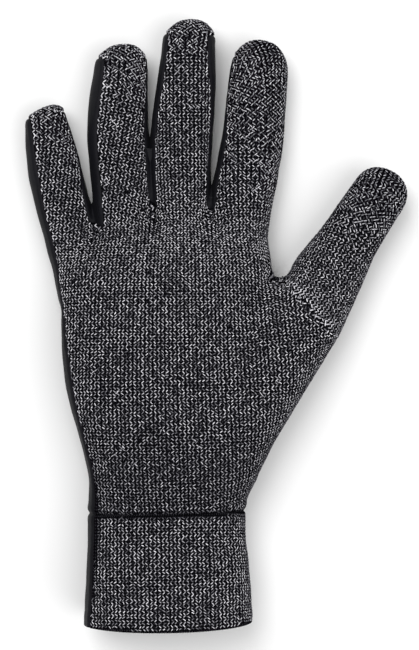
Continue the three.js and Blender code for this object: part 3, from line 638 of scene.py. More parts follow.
def finger_net(index):
    tube = FINGERS[index]
    span = slice(index * TOP_QUADS, (index + 1) * TOP_QUADS + 1)
    top, back = palm_top[-1][span], palm_back[-1][span][::-1]
    right = crotch_nodes[index] if index < 3 else right_sides[LAST_ROW]
    left = crotch_nodes[index - 1] if index > 0 else left_sides[-1]
    ring = [*top, *right[1:-1], *back, *left[1:-1][::-1]]

    def angles(along):
        half_width = tube.section(along)[1]
        strips = [tube.column(name, along) * tube.width for name in ("left_strip", "right_strip")]
        return ring_angles(TOP_QUADS, math.pi - strip_angle(strips[0], half_width),
                           strip_angle(strips[1], half_width))

    rings = tube_rings(tube, ring, angles, FINGER_QUADS)
    return {"rings": rings, "tip": tip_net(tube, rings[-1], TOP_QUADS), "across": TOP_QUADS}


def thumb_net():
    ring = [*opening_top[::-1], *opening_outer[1:-1], *opening_bottom, *opening_crotch[1:-1][::-1]]

    def angles(along):
        return ring_angles(THUMB_TOP_QUADS, np.full_like(along, math.pi - THUMB_SIDE),
                           np.full_like(along, THUMB_SIDE))

    rings = tube_rings(THUMB, ring, angles, THUMB_QUADS)
    return {"rings": rings, "tip": tip_net(THUMB, rings[-1], THUMB_TOP_QUADS), "across": THUMB_TOP_QUADS}


finger_nets = [finger_net(index) for index in range(4)]
thumb_mesh = thumb_net()


def cuff_rings():
    wrist = [*palm_top[0], *right_sides[0][1:-1], *palm_back[0][::-1], *left_sides[0][1:-1][::-1]]
    here = at(wrist)
    shift, half_width, middle, half_depth = trunk_section(here[:, 1])
    across, rise = (here[:, 0] - shift) / half_width, (here[:, 2] - middle) / half_depth
    t = np.arange(1, CUFF_QUADS + 1)[:, None] / CUFF_QUADS
    along = here[:, 1] * (1 - t) - CUFF_LENGTH * t
    shift, half_width, middle, half_depth = trunk_section(along)
    origins = np.stack([shift, along, middle], axis=-1)
    ways = np.stack([across * half_width, 0 * along, rise * half_depth], axis=-1)
    return [wrist, *[list(row) for row in towards(origins, origins + ways)]]


def net_quads(rows):
    return [(low[i], low[i + 1], high[i + 1], high[i])
            for low, high in zip(rows, rows[1:]) for i in range(len(low) - 1)]


def backwards(rows):
    return [list(row)[::-1] for row in rows]


def part(rings, first, count):
    return [[ring[i % len(ring)] for i in range(first, first + count + 1)] for ring in rings]


def net_part(net, name):
    across = net["across"]
    spans = {"top": (0, across), "right": (across, SIDE_QUADS), "back": (across + SIDE_QUADS, across),
             "left": (2 * across + SIDE_QUADS, SIDE_QUADS)}
    return net_quads(net["tip"] if name == "tip" else part(net["rings"], *spans[name]))


def all_panels():
    below = range(THUMB_ROWS[0] + 1)
    above = range(THUMB_ROWS[-1], len(PALM_ROWS))
    rings = cuff_rings()[::-1]
    flecked = PALM_QUADS + SIDE_QUADS
    panels = {
        "palm_panel": net_quads(palm_top) + net_quads([right_sides[i] for i in below])
        + net_quads([right_sides[i] for i in above])
        + [q for net in finger_nets for q in net_part(net, "top") + net_part(net, "tip")]
        + net_part(finger_nets[-1], "right"),
        "back_panel": net_quads(backwards(palm_back)) + net_quads(backwards(left_sides))
        + [q for net in finger_nets for q in net_part(net, "back")] + net_part(finger_nets[0], "left"),
    }
    for i, name in enumerate(("pinky_ring", "ring_middle", "middle_index")):
        panels["fourchette_" + name] = (net_part(finger_nets[i], "right")
                                        + net_part(finger_nets[i + 1], "left"))
    panels["thumb_front"] = [q for name in ("top", "left", "right", "tip")
                             for q in net_part(thumb_mesh, name)]
    panels["thumb_back"] = net_part(thumb_mesh, "back")
    panels["cuff_front"] = net_quads(part(rings, 0, flecked))
    panels["cuff_back"] = net_quads(part(rings, flecked, flecked))
    return panels


panels = all_panels()
PANEL_NAMES = list(panels)
nodes_mm = np.array(node_at)

# The CAD frame's origin is the middle of the footprint
lowest = np.array(cad_box[0]) / MM
highest = np.array(cad_box[1]) / MM
net_low, net_high = nodes_mm.min(0), nodes_mm.max(0)
OFFSET = np.array([(lowest[0] + highest[0] - net_low[0] - net_high[0]) / 2, highest[1] - net_high[1], 0.0])

# ---- fine surface: the whole net subdivided at once, so that neighbouring panels share their seams
FLECKED = ("palm_panel", "thumb_front", "cuff_front")
used = np.unique(np.concatenate([np.ravel(q) for q in panels.values()]))
renumber = np.full(len(nodes_mm), -1)
renumber[used] = np.arange(len(used))


def make_mesh(name, points, faces):
    mesh = bpy.data.meshes.new(name)
    mesh.from_pydata(points.tolist(), [], faces)
    mesh.polygons.foreach_set("use_smooth", np.ones(len(mesh.polygons), bool))
    mesh.update()
    return mesh


def read(items, key, width=1, kind=float):
    """A value of every item of a mesh, in rows of the given width."""
    values = np.zeros(len(items) * width, kind)
    items.foreach_get(key, values)
    return values.reshape(-1, width) if width > 1 else values


def add_object(name, mesh):
    piece = bpy.data.objects.new(name, mesh)
    bpy.context.scene.collection.objects.link(piece)
    return piece


def flatten(quads, turn_to):
    """Unrolled coordinates of a panel's quad corners in millimetres, with the grain along turn_to."""
    own = np.unique(np.ravel(quads))
    index = np.full(len(nodes_mm), -1)
    index[own] = np.arange(len(own))
    mesh = make_mesh("flat", nodes_mm[own] * MM, index[np.array(quads)].tolist())
    piece = add_object("flat", mesh)
    mesh.uv_layers.new(name="flat")
    bpy.context.view_layer.objects.active = piece
    piece.select_set(True)
    bpy.ops.object.mode_set(mode="EDIT")
    bpy.ops.mesh.select_all(action="SELECT")
    bpy.ops.uv.unwrap(method="ANGLE_BASED", margin=0.0)
    bpy.ops.uv.select_all(action="SELECT")
    bpy.ops.object.mode_set(mode="OBJECT")
    loops = read(mesh.uv_layers[0].data, "uv", 2)
    places = nodes_mm[own][read(mesh.loops, "vertex_index", kind=int)]
    bpy.data.objects.remove(piece)
    flat = loops - loops.mean(0)
    plan = places[:, :2] - places[:, :2].mean(0)
    u, _, vt = np.linalg.svd(flat.T @ plan)
    turn = u @ vt
    flat = flat @ turn
    quad_flat = flat.reshape(-1, 4, 2)
    quad_real = places.reshape(-1, 4, 3)
    flat_edge = np.linalg.norm(quad_flat - np.roll(quad_flat, 1, 1), axis=-1)
    real_edge = np.linalg.norm(quad_real - np.roll(quad_real, 1, 1), axis=-1)
    scale = np.median(real_edge / np.maximum(flat_edge, 1e-9))
    flat = flat * scale
    way = np.array(turn_to[:2]) / np.linalg.norm(turn_to[:2])
    rotation = np.array([[way[1], way[0]], [-way[0], way[1]]])
    return (flat @ rotation).reshape(-1, 4, 2)


def fine_surface():
    """The whole net subdivided: its points, quads, their panels and their grain coordinates."""
    faces, owner, grain = [], [], []
    for number, name in enumerate(PANEL_NAMES):
        quads = panels[name]
        faces += renumber[np.array(quads)].tolist()
        owner += [number] * len(quads)
        if name in FLECKED:
            grain.append(flatten(quads, THUMB.line if name == "thumb_front" else FORWARD))
        else:
            grain.append(nodes_mm[np.array(quads)][..., :2])
    mesh = make_mesh("net", nodes_mm[used], faces)
    for name in PANEL_NAMES:
        mesh.materials.append(bpy.data.materials.new("net_" + name))
    mesh.polygons.foreach_set("material_index", owner)
    layer = mesh.uv_layers.new(name="grain")
    layer.data.foreach_set("uv", np.concatenate([g.reshape(-1) for g in grain]))
    piece = add_object("net", mesh)
    rounder = piece.modifiers.new("smooth", "SUBSURF")
    rounder.levels = rounder.render_levels = 3
    rounder.uv_smooth = "PRESERVE_BOUNDARIES"
    rounder.boundary_smooth = "ALL"
    bpy.context.view_layer.update()
    fine = piece.evaluated_get(bpy.context.evaluated_depsgraph_get()).to_mesh()
    result = (read(fine.vertices, "co", 3), read(fine.loops, "vertex_index", kind=int).reshape(-1, 4),
              read(fine.polygons, "material_index", kind=int),
              read(fine.uv_layers["grain"].data, "uv", 2).reshape(-1, 4, 2))
    piece.to_mesh_clear()
    bpy.data.objects.remove(piece)
    return result


points_mm, fine_quads, fine_panel, fine_grain = fine_surface()
FITS = 3
for _ in range(FITS):
    distance = form_distance(points_mm)
    points_mm = points_mm - distance[:, None] * form_normal(points_mm)
points_mm[:, 2] = np.maximum(points_mm[:, 2], 0)
normals = form_normal(points_mm)

# ---- seams: edges between panels, and the hem
pair_a = fine_quads.reshape(-1)
pair_b = np.roll(fine_quads, -1, axis=1).reshape(-1)
edge_quad = np.repeat(np.arange(len(fine_quads)), 4)
edge_key = np.minimum(pair_a, pair_b) * np.int64(len(points_mm)) + np.maximum(pair_a, pair_b)
order = np.argsort(edge_key, kind="stable")
same = edge_key[order][1:] == edge_key[order][:-1]
partner = np.full(len(edge_key), -1)
partner[order[:-1][same]] = order[1:][same]
partner[order[1:][same]] = order[:-1][same]
other_panel = np.where(partner >= 0, fine_panel[edge_quad[np.maximum(partner, 0)]], -1)
own_panel = fine_panel[edge_quad]
is_border = other_panel != own_panel


def in_cuff(panel):
    return np.isin(panel, [PANEL_NAMES.index("cuff_front"), PANEL_NAMES.index("cuff_back")])


FLECKED_PANELS = [PANEL_NAMES.index(name) for name in FLECKED]
is_wrist = is_border & (other_panel >= 0) & (in_cuff(own_panel) != in_cuff(other_panel))
is_side = is_border & (other_panel >= 0) & ~is_wrist
is_inset = is_side & np.isin(own_panel, FLECKED_PANELS) & np.isin(other_panel, FLECKED_PANELS)
# Most edges of one kind that meet in a node, and how much closer yarns come to the inset seam
MOST_EDGES = 6
INSET_REACH = 0.35


def seam_distance(chosen):
    """Distance from every fine node to the nearest chosen edge, in millimetres."""
    a, b = pair_a[chosen], pair_b[chosen]
    nodes = np.unique(np.concatenate([a, b]))
    tree = KDTree(len(nodes))
    for number, node in enumerate(nodes):
        tree.insert(points_mm[node], number)
    tree.balance()
    nearest = np.array([tree.find(point)[1] for point in points_mm])
    index = np.full(len(points_mm), -1)
    index[nodes] = np.arange(len(nodes))
    ends = np.concatenate([index[a], index[b]])
    others = np.concatenate([b, a])
    sort = np.argsort(ends, kind="stable")
    first = np.searchsorted(ends[sort], np.arange(len(nodes)))
    last = np.searchsorted(ends[sort], np.arange(len(nodes)), side="right")
    best = np.linalg.norm(points_mm - points_mm[nodes[nearest]], axis=1)
    for k in range(MOST_EDGES):
        slot = first[nearest] + k
        valid = slot < last[nearest]
        neighbour = others[sort[np.minimum(slot, len(sort) - 1)]]
        start = points_mm[nodes[nearest]]
        way = points_mm[neighbour] - start
        t = ((points_mm - start) * way).sum(1) / np.maximum((way * way).sum(1), 1e-12)
        foot = start + np.clip(t, 0, 1)[:, None] * way
        gap = np.linalg.norm(points_mm - foot, axis=1)
        best = np.where(valid & (gap < best), gap, best)
    return best


strip_gap = seam_distance(is_side & ~is_inset)
inset_gap = seam_distance(is_inset)
side_gap = np.minimum(strip_gap, inset_gap)
yarn_gap = np.minimum(strip_gap, inset_gap + INSET_REACH)
wrist_gap = seam_distance(is_wrist)
hem_gap = seam_distance(is_border & (other_panel < 0))

# The hem: where it is lowest, how much it curves up from there and how far it is cut back
HEM_LOWEST = -7.6
HEM_CURVE = 4.6
HEM_LIFT = 1.0
HEM_START = 0.3 * CUFF_LENGTH

# Unevenness of the cloth: height and the wave lengths it is made of
SWELL, SWELL_WAVES = 0.5, (28, 60)
RIPPLE, RIPPLE_WAVES = 0.16, (7, 15)
GATHER, GATHER_WAVES = 0.22, (4, 7)
PUCKER, PUCKER_WAVES = 0.12, (3.5, 6)
# Rolls and grooves along the seams: height, distance from the seam and width
SEAM_ROLL = (0.16, 1.5, 1.0)
SEAM_CALM = (0.6, 0, 3)
SEAM_GROOVE = (-0.42, 0, 0.5)
INSET_FILL = (0.3, 0, 0.5)
WRIST_GROOVE = (-0.6, 0, 0.7)
HEM_ROLL = (0.25, 3.5, 2.2)
PALM_ROLL, CUFF_ROLL, WRIST_ROLL_AT = 0.4, 0.2, (2.2, 1.5)
GATHER_AT = (3.0, 4.0)
GATHER_SHARES = np.array([1, 0.15, 1])
PUCKER_AT = (1.5, 2.0)


def waves(points, lengths, seed, count=5):
    """Smooth seeded unevenness between about -1 and 1, from waves of about the given length."""
    random = np.random.default_rng(seed)
    total = np.zeros(len(points))
    for _ in range(count):
        way = unit(random.normal(size=3)) * (2 * math.pi / random.uniform(*lengths))
        total += np.sin(points @ way + random.uniform(0, 2 * math.pi))
    return total / count


def bump(distance, centre, width):
    return np.exp(-(((distance - centre) / width) ** 2))


def ridge(distance, height, centre, width):
    return height * bump(distance, centre, width)


def relief(points):
    """Height of the cloth above the smooth form, in millimetres."""
    soft = SWELL * waves(points, SWELL_WAVES, 3) + RIPPLE * waves(points, RIPPLE_WAVES, 4)
    side = ridge(side_gap, *SEAM_ROLL) + ridge(side_gap, *SEAM_GROOVE) + ridge(inset_gap, *INSET_FILL)
    roll = np.where(points[:, 1] > 0, PALM_ROLL, CUFF_ROLL)
    wrist = ridge(wrist_gap, roll, *WRIST_ROLL_AT) + ridge(wrist_gap, *WRIST_GROOVE)
    gather = GATHER * waves(points * GATHER_SHARES, GATHER_WAVES, 5) * bump(wrist_gap, *GATHER_AT)
    pucker = PUCKER * waves(points, PUCKER_WAVES, 6) * bump(side_gap, *PUCKER_AT)
    calm = 1 - ridge(side_gap, *SEAM_CALM)
    return soft * calm + side + wrist + gather + pucker + ridge(hem_gap, *HEM_ROLL)


lifted = points_mm + relief(points_mm)[:, None] * normals


def hem_rise(points):
    """How far the hem is cut back, least at its lowest place, in millimetres."""
    aside = (points[:, 0] - HEM_LOWEST) / CUFF_WIDTH
    return (HEM_LIFT + HEM_CURVE * aside**2) * smoothstep(-points[:, 1], HEM_START, CUFF_LENGTH)


# The web between the thumb and the index finger sags to a point: its middle, depth and width
WEB_MIDDLE = (45.2, 98.6)
WEB_SAG = 4.3
WEB_WIDTH = 5.6


def web_sag(points):
    """How far the web sags towards the wrist, in millimetres."""
    away = np.hypot(points[:, 0] - WEB_MIDDLE[0], points[:, 1] - WEB_MIDDLE[1])
    return WEB_SAG * bump(away, 0, WEB_WIDTH)


# The flat area on the floor stays flat, but for the seams that cross it
FLOOR_REACH = 0.3
FLOOR_SEAM = 1.2
DEPTH_RANGE = (1.5, 7)
on_floor = points_mm[:, 2] < FLOOR_REACH
lifted[on_floor, :2] = points_mm[on_floor, :2]
lifted[:, 2] = np.maximum(lifted[:, 2], 0)
lifted[on_floor & (side_gap > FLOOR_SEAM), 2] = 0

# The inner face lies one wall inside the form, measured straight in from the outer one
depth = np.full(len(points_mm), float(WALL))
for _ in range(FITS):
    deeper = points_mm - depth[:, None] * normals
    depth = np.clip(depth + WALL + form_distance(deeper), *DEPTH_RANGE)
inner_mm = points_mm - depth[:, None] * normals
lifted[:, 1] += hem_rise(points_mm) - web_sag(points_mm)
inner_mm[:, 1] += hem_rise(inner_mm) - web_sag(inner_mm)


def to_world(points):
    return (points + OFFSET) * MM


SEAM_INSET = 0.03


def rim_shift(a, b, middles):
    """How nodes move in from a rim whose edges run from a to b, beside quads with these middles."""
    along = unit(lifted[b] - lifted[a])
    inward = middles - lifted[a]
    inward = unit(inward - (inward * along).sum(1)[:, None] * along)
    shift = np.zeros((len(points_mm), 3))
    np.add.at(shift, a, inward)
    np.add.at(shift, b, inward)
    return unit(shift) * SEAM_INSET


def mark_sharp(mesh, pairs):
    sharp = {tuple(pair) for pair in np.sort(pairs, axis=1)}
    edges = np.sort(read(mesh.edges, "vertices", 2, int), axis=1)
    attribute = mesh.attributes.new("sharp_edge", "BOOLEAN", "EDGE")
    attribute.data.foreach_set("value", np.array([tuple(edge) in sharp for edge in edges]))


def panel_piece(name, materials):
    """Closed sheet of a panel: outer face, inner face and the rim between them."""
    number = PANEL_NAMES.index(name)
    mine = np.nonzero(fine_panel == number)[0]
    own = np.unique(fine_quads[mine])
    count = len(own)
    index = np.full(len(points_mm), -1)
    index[own] = np.arange(count)
    quads = index[fine_quads[mine]]
    rim = is_border & (own_panel == number)
    a, b = pair_a[rim], pair_b[rim]
    shift = rim_shift(a, b, lifted[fine_quads[edge_quad[rim]]].mean(1))[own]
    outer = lifted[own] + shift
    outer[:, 2] = np.maximum(outer[:, 2], 0)
    inner = inner_mm[own] + shift
    a, b = index[a], index[b]
    faces = np.concatenate([quads, quads[:, ::-1] + count, np.stack([a, a + count, b + count, b], axis=1)])
    mesh = make_mesh(name, to_world(np.concatenate([outer, inner])), faces.tolist())
    for material in materials:
        mesh.materials.append(material)
    slots = np.zeros(len(faces), int)
    slots[len(quads):] = 1
    mesh.polygons.foreach_set("material_index", slots)
    grain = np.zeros((len(faces), 4, 2))
    grain[:len(quads)] = fine_grain[mine]
    grain[len(quads):2 * len(quads)] = fine_grain[mine][:, ::-1]
    layer = mesh.uv_layers.new(name="grain")
    layer.data.foreach_set("uv", (grain * MM).ravel())
    rim_pairs = np.stack([a, b], axis=1)
    mark_sharp(mesh, np.concatenate([rim_pairs, rim_pairs + count]))
    mesh.update()
    piece = add_object("glove_" + name, mesh)
    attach(piece, "root")
    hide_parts(name)
    return piece


# ---- fleck yarns: short raised ticks on the fabric's own grid
TICK_PITCH = (1.62, 1.22)
TICK_LENGTH = 1.38
TICK_WIDTH = 0.45
TICK_HEIGHT = 0.2
# The first grid thins out only where the cloth is pressed together, and the others fill it
# where it is stretched
PRESSED = 0.55
STRETCHED = 1.15
GRID_SHIFTS = ((0, 0), (0.5, 0.5), (0.5, 0), (0, 0.5))
# Painted shade darkens the little-finger edge round the wrist, which is left nearly bare of flecks,
# and darkens the low palm a little. Each is centred at a place along the hand and has a width
EDGE_SHADE, EDGE_SHADE_AT = 3.2, (-8, 26)
LOW_PALM_SHADE, LOW_PALM_AT = 0.22, (14, 20)
# Ticks are longer, wider and lighter beside a side seam, and fade out at the wrist seam and at
# the side seams. Where the cloth turns steep they darken, as painted shade on sides turned from the light
SEAM_TICKS_AT = (1.0, 0.8)
LONGER, WIDER, LIGHTER = 0.15, 0.3, 0.2
WRIST_FADE = (0.2, 2.6)
STEEP_SHADE_LEAST, STEEP_SHADE_FADE = 0.2, (0.0, 0.55)
EDGE_FADE, EDGE_SHADE_FADE = (0.4, 0.5), (0.5, 1.6)
# Unevenness of the ticks: share turned the other way, tilt in degrees, sizes, tone and place
TURNED_SHARE = 0.1
TICK_TILT, TILT_SPREAD = 43, 8
LENGTH_RANGE = (0.75, 1.15)
WIDTH_RANGE = (0.75, 1.2)
TONE_SHAPE = (2.6, 2.4)
NUDGE_ACROSS, NUDGE_ALONG = 0.12, 0.09
ZIGZAG_CELLS = 7
TICK_SINK = 0.05
# Ticks stop at these distances from a side seam, the wrist seam and the hem
TICK_GAPS = (0.45, 0.5, 1.0)
LEAST_TONE = 0.05
CELL_KEY = 100000


def lattice_hits(name, shift):
    """Points of a panel's yarn grid, shifted by parts of a cell: place, normal, grain directions,
    distances to seams, cell and how far the cloth is stretched there."""
    quads = np.nonzero(fine_panel == PANEL_NAMES.index(name))[0]
    corners = np.concatenate([fine_quads[quads][:, [0, 1, 2]], fine_quads[quads][:, [0, 2, 3]]])
    flat = np.concatenate([fine_grain[quads][:, [0, 1, 2]], fine_grain[quads][:, [0, 2, 3]]])
    cells = flat / np.array(TICK_PITCH) + shift
    low = np.ceil(cells.min(1)).astype(int)
    high = np.floor(cells.max(1)).astype(int)
    found = []
    edge1, edge2 = cells[:, 1] - cells[:, 0], cells[:, 2] - cells[:, 0]
    area = edge1[:, 0] * edge2[:, 1] - edge1[:, 1] * edge2[:, 0]
    for di in range(int((high - low)[:, 0].max()) + 1):
        for dj in range(int((high - low)[:, 1].max()) + 1):
            cell = low + [di, dj]
            possible = (cell <= high).all(1) & (np.abs(area) > 1e-9)
            tri = np.nonzero(possible)[0]
            off = cell[tri] - cells[tri, 0]
            s = (off[:, 0] * edge2[tri, 1] - off[:, 1] * edge2[tri, 0]) / area[tri]
            t = (edge1[tri, 0] * off[:, 1] - edge1[tri, 1] * off[:, 0]) / area[tri]
            inside = (s >= 0) & (t >= 0) & (s + t <= 1)
            found.append(np.column_stack([tri, s, t, cell[tri]])[inside])
    found = np.concatenate(found)
    keys = found[:, 3] * CELL_KEY + found[:, 4]
    _, first = np.unique(keys, return_index=True)
    found = found[first]
    tri = found[:, 0].astype(int)
    s, t = found[:, 1:2], found[:, 2:3]
    nodes = corners[tri]

    def spread(values):
        return values[nodes[:, 0]] * (1 - s - t) + values[nodes[:, 1]] * s + values[nodes[:, 2]] * t

    place = spread(lifted)
    p1 = lifted[nodes[:, 1]] - lifted[nodes[:, 0]]
    p2 = lifted[nodes[:, 2]] - lifted[nodes[:, 0]]
    normal = unit(np.cross(p1, p2))
    f1, f2 = flat[tri, 1] - flat[tri, 0], flat[tri, 2] - flat[tri, 0]
    det = (f1[:, 0] * f2[:, 1] - f1[:, 1] * f2[:, 0])[:, None]
    across = unit((p1 * f2[:, 1:] - p2 * f1[:, 1:]) / det)
    along = unit(np.cross(normal, across))
    gaps = [spread(gap[:, None])[:, 0] for gap in (yarn_gap, wrist_gap, hem_gap)]
    stretch = np.linalg.norm(np.cross(p1, p2), axis=1) / np.maximum(np.abs(det[:, 0]), 1e-9)
    return place, normal, across, along, np.stack(gaps, axis=1), found[:, 3:].astype(int), stretch


# Stations along a tick: place from -1 to 1, share of the width and share of the height
TICK_STATIONS = ((-1.0, 0.45, 0.25), (-0.55, 1.0, 1.0), (0.55, 1.0, 1.0), (1.0, 0.45, 0.25))


def tick_piece(label, name, material, seed, low=-math.inf, high=math.inf):
    """Fleck yarns of a panel between two places along the hand, with extra ones where the cloth
    is stretched."""
    random = np.random.default_rng(seed)
    grids = []
    for order, shift in enumerate(GRID_SHIFTS):
        hits = lattice_hits(name, np.array(shift))
        share = STRETCHED * (hits[-1] - order) if order else hits[-1] / PRESSED
        chosen = random.random(len(hits[0])) < share
        grids.append([values[chosen] for values in hits])
    place, normal, across, along, gaps, cell, _ = (np.concatenate(values) for values in zip(*grids))
    side, wrist, _ = gaps.T
    count = len(place)
    flip = np.where((cell[:, 1] + cell[:, 0] // ZIGZAG_CELLS) % 2 == 0, 1, -1)
    flip = np.where(random.random(count) < TURNED_SHARE, -flip, flip)
    tilt = flip * (TICK_TILT + random.normal(0, TILT_SPREAD, count)) * DEGREES
    length = TICK_LENGTH * random.uniform(*LENGTH_RANGE, count)
    width = TICK_WIDTH * random.uniform(*WIDTH_RANGE, count)
    tone = random.beta(*TONE_SHAPE, count)
    nudge_u, nudge_v = random.normal(0, NUDGE_ACROSS, count), random.normal(0, NUDGE_ALONG, count)
    near_seam = bump(side, *SEAM_TICKS_AT)
    length *= 1 + LONGER * near_seam
    width *= 1 + WIDER * near_seam
    tone = np.clip(tone * (1 + LIGHTER * near_seam), 0, 1)
    tone *= smoothstep(wrist, *WRIST_FADE)
    # painted shade: ticks darken where the cloth turns steep and faces away from the light
    tone *= STEEP_SHADE_LEAST + (1 - STEEP_SHADE_LEAST) * smoothstep(normal[:, 2], *STEEP_SHADE_FADE)
    # painted shade: the low palm, which curves down towards the wrist seam, is a little darker
    tone *= 1 - LOW_PALM_SHADE * bump(place[:, 1], *LOW_PALM_AT) * (place[:, 1] > 0)
    # painted shade: flecks thin out along the little-finger edge round the wrist, which turns away from
    # the light
    edge_shade = np.where(place[:, 0] < 0, EDGE_SHADE * bump(place[:, 1], *EDGE_SHADE_AT), 0)
    tone *= smoothstep(side, EDGE_FADE[0] + EDGE_SHADE_FADE[0] * edge_shade, EDGE_FADE[1] + EDGE_SHADE_FADE[1] * edge_shade)
    keep = (gaps > TICK_GAPS).all(1) & (tone > LEAST_TONE) & (place[:, 1] > low) & (place[:, 1] <= high)
    place = place + nudge_u[:, None] * across + nudge_v[:, None] * along
    way = np.cos(tilt)[:, None] * across + np.sin(tilt)[:, None] * along
    aside = np.cross(normal, way)
    points, faces = [], []
    for station, wide, tall in TICK_STATIONS:
        middle = place + way * (station * length / 2)[:, None] - TICK_SINK * normal
        half = aside * (wide * width / 2)[:, None]
        points += [middle - half, middle + normal * (TICK_HEIGHT * tall), middle + half]
    points = np.stack(points, axis=1)[keep]
    for k in range(0, 3 * len(TICK_STATIONS) - 3, 3):
        faces += [(k, k + 3, k + 4, k + 1), (k + 1, k + 4, k + 5, k + 2), (k + 2, k + 5, k + 3, k)]
    last = 3 * (len(TICK_STATIONS) - 1)
    caps = [(0, 1, 2), (last, last + 2, last + 1)]
    ticks = len(points)
    starts = (np.arange(ticks) * points.shape[1])[:, None, None]
    quads = (starts + np.array(faces)[None]).reshape(-1, 4)
    triangles = (starts + np.array(caps)[None]).reshape(-1, 3)
    mesh = make_mesh(label, to_world(points.reshape(-1, 3)), quads.tolist() + triangles.tolist())
    attribute = mesh.attributes.new("tone", "FLOAT", "POINT")
    attribute.data.foreach_set("value", np.repeat(tone[keep], points.shape[1]).astype(np.float32))
    mesh.materials.append(material)
    mesh.update()
    piece = add_object("yarns_" + label, mesh)
    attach(piece, "root")
    return piece


# ---- materials
class Shader:
    """Short way to build a node tree."""

    def __init__(self, name):
        self.material = bpy.data.materials.new(name)
        self.material.use_nodes = True
        self.tree = self.material.node_tree
        self.surface = self.tree.nodes["Principled BSDF"]

    def node(self, kind, inputs=(), **settings):
        made = self.tree.nodes.new(kind)
        for key, value in settings.items():
            setattr(made, key, value)
        for key, value in dict(inputs).items():
            self.feed(made.inputs[key], value)
        return made

    def feed(self, socket, value):
        if isinstance(value, bpy.types.NodeSocket):
            self.tree.links.new(value, socket)
        else:
            socket.default_value = value

    def maths(self, operation, a, b=0.0):
        return self.node("ShaderNodeMath", {0: a, 1: b}, operation=operation).outputs[0]

    def line(self, value, slope, start):
        return self.maths("ADD", self.maths("MULTIPLY", value, slope), start)

    def mix(self, a, share_a, b, share_b):
        return self.maths("ADD", self.maths("MULTIPLY", a, share_a), self.maths("MULTIPLY", b, share_b))

    def noise(self, coordinates, scale, detail=3.0, roughness=0.55):
        return self.node("ShaderNodeTexNoise", {"Vector": coordinates, "Scale": scale, "Detail": detail,
                                                "Roughness": roughness}).outputs["Fac"]

    def ramp(self, value, *stops):
        made = self.node("ShaderNodeValToRGB", {"Fac": value})
        elements = made.color_ramp.elements
        while len(elements) < len(stops):
            elements.new(0.5)
        for element, (place, colour) in zip(elements, stops):
            element.position = place
            element.color = (*colour, 1.0)
        return made.outputs["Color"]

    def bump(self, height, strength, distance, normal=None):
        inputs = {"Height": height, "Strength": strength, "Distance": distance}
        if normal is not None:
            inputs["Normal"] = normal
        return self.node("ShaderNodeBump", inputs).outputs["Normal"]

    def position(self):
        return self.node("ShaderNodeTexCoord").outputs["Object"]

    def grain(self):
        return self.node("ShaderNodeUVMap", uv_map="grain").outputs["UV"]

    def set(self, **values):
        names = {"base": "Base Color", "rough": "Roughness", "normal": "Normal", "sheen": "Sheen Weight",
                 "sheen_rough": "Sheen Roughness", "specular": "Specular IOR Level"}
        for key, value in values.items():
            self.feed(self.surface.inputs[names[key]], value)
        return self.material


def knit_height(shader, pitch_u, pitch_v):
    """Rows of small loops along the grain, from two crossed sine waves."""
    split = shader.node("ShaderNodeSeparateXYZ", {0: shader.grain()})
    u = shader.maths("MULTIPLY", split.outputs[0], 2 * math.pi / (pitch_u * MM))
    v = shader.maths("MULTIPLY", split.outputs[1], 2 * math.pi / (pitch_v * MM))
    rib = shader.maths("SINE", u)
    zigzag = shader.maths("MULTIPLY", rib, 1.2)
    loop = shader.maths("SINE", shader.maths("ADD", v, zigzag))
    both = shader.maths("MULTIPLY", shader.maths("ADD", rib, loop), 0.25)
    return shader.maths("ADD", both, 0.5)


def fleck_fabric():
    shader = Shader("flecked_fabric")
    place = shader.position()
    knit = knit_height(shader, 1.0, 1.3)
    fuzz = shader.noise(place, 900.0, 4.0, 0.7)
    patch = shader.noise(place, 45.0, 3.0)
    tone = shader.mix(fuzz, 0.55, knit, 0.45)
    colour = shader.ramp(tone, (0.3, (0.0004, 0.0004, 0.0006)), (0.55, (0.003, 0.0029, 0.004)),
                         (0.8, (0.04, 0.039, 0.047)))
    worn = shader.node("ShaderNodeMix", {0: shader.maths("MULTIPLY", patch, 0.25), 6: colour,
                                         7: (0.006, 0.0058, 0.0076, 1.0)}, data_type="RGBA")
    rough = shader.line(fuzz, 0.15, 0.8)
    normal = shader.bump(fuzz, 0.5, 0.0003)
    normal = shader.bump(knit, 0.9, 0.0005, normal)
    return shader.set(base=worn.outputs[2], rough=rough, normal=normal, specular=0.0)


def yarn():
    shader = Shader("fleck_yarn")
    place = shader.position()
    tone = shader.node("ShaderNodeAttribute", attribute_name="tone").outputs["Fac"]
    strand = shader.noise(place, 1600.0, 3.0, 0.6)
    mixed = shader.mix(tone, 0.85, strand, 0.2)
    colour = shader.ramp(mixed, (0.05, (0.03, 0.03, 0.034)), (0.35, (0.17, 0.168, 0.188)),
                         (0.65, (0.56, 0.553, 0.59)), (1.0, (0.97, 0.96, 1.0)))
    return shader.set(base=colour, rough=0.75, normal=shader.bump(strand, 0.6, 0.0002), specular=0.15,
                      sheen=0.05, sheen_rough=0.4)


def neoprene(name, dark, light, sheen):
    shader = Shader(name)
    place = shader.position()
    fine = shader.noise(place, 1500.0, 3.0, 0.6)
    cloud = shader.noise(place, 60.0, 4.0)
    rows = shader.node("ShaderNodeTexWave", {"Vector": place, "Scale": 900.0, "Distortion": 1.5,
                                             "Detail": 2.0, "Detail Scale": 1.5},
                       wave_type="BANDS", bands_direction="Y").outputs["Fac"]
    tone = shader.mix(fine, 0.5, cloud, 0.5)
    colour = shader.ramp(tone, (0.3, dark), (0.7, light))
    rough = shader.line(fine, 0.2, 0.52)
    normal = shader.bump(rows, 0.25, 0.00012)
    normal = shader.bump(fine, 0.35, 0.00018, normal)
    return shader.set(base=colour, rough=rough, normal=normal, specular=0.1, sheen=sheen, sheen_rough=0.35)


fleck_material = fleck_fabric()
yarn_material = yarn()
black_material = neoprene("black_jersey", (0.0028, 0.0028, 0.0042), (0.007, 0.007, 0.0098), 0.01)
lining_material = neoprene("black_lining", (0.006, 0.006, 0.0075), (0.014, 0.014, 0.017), 0.03)

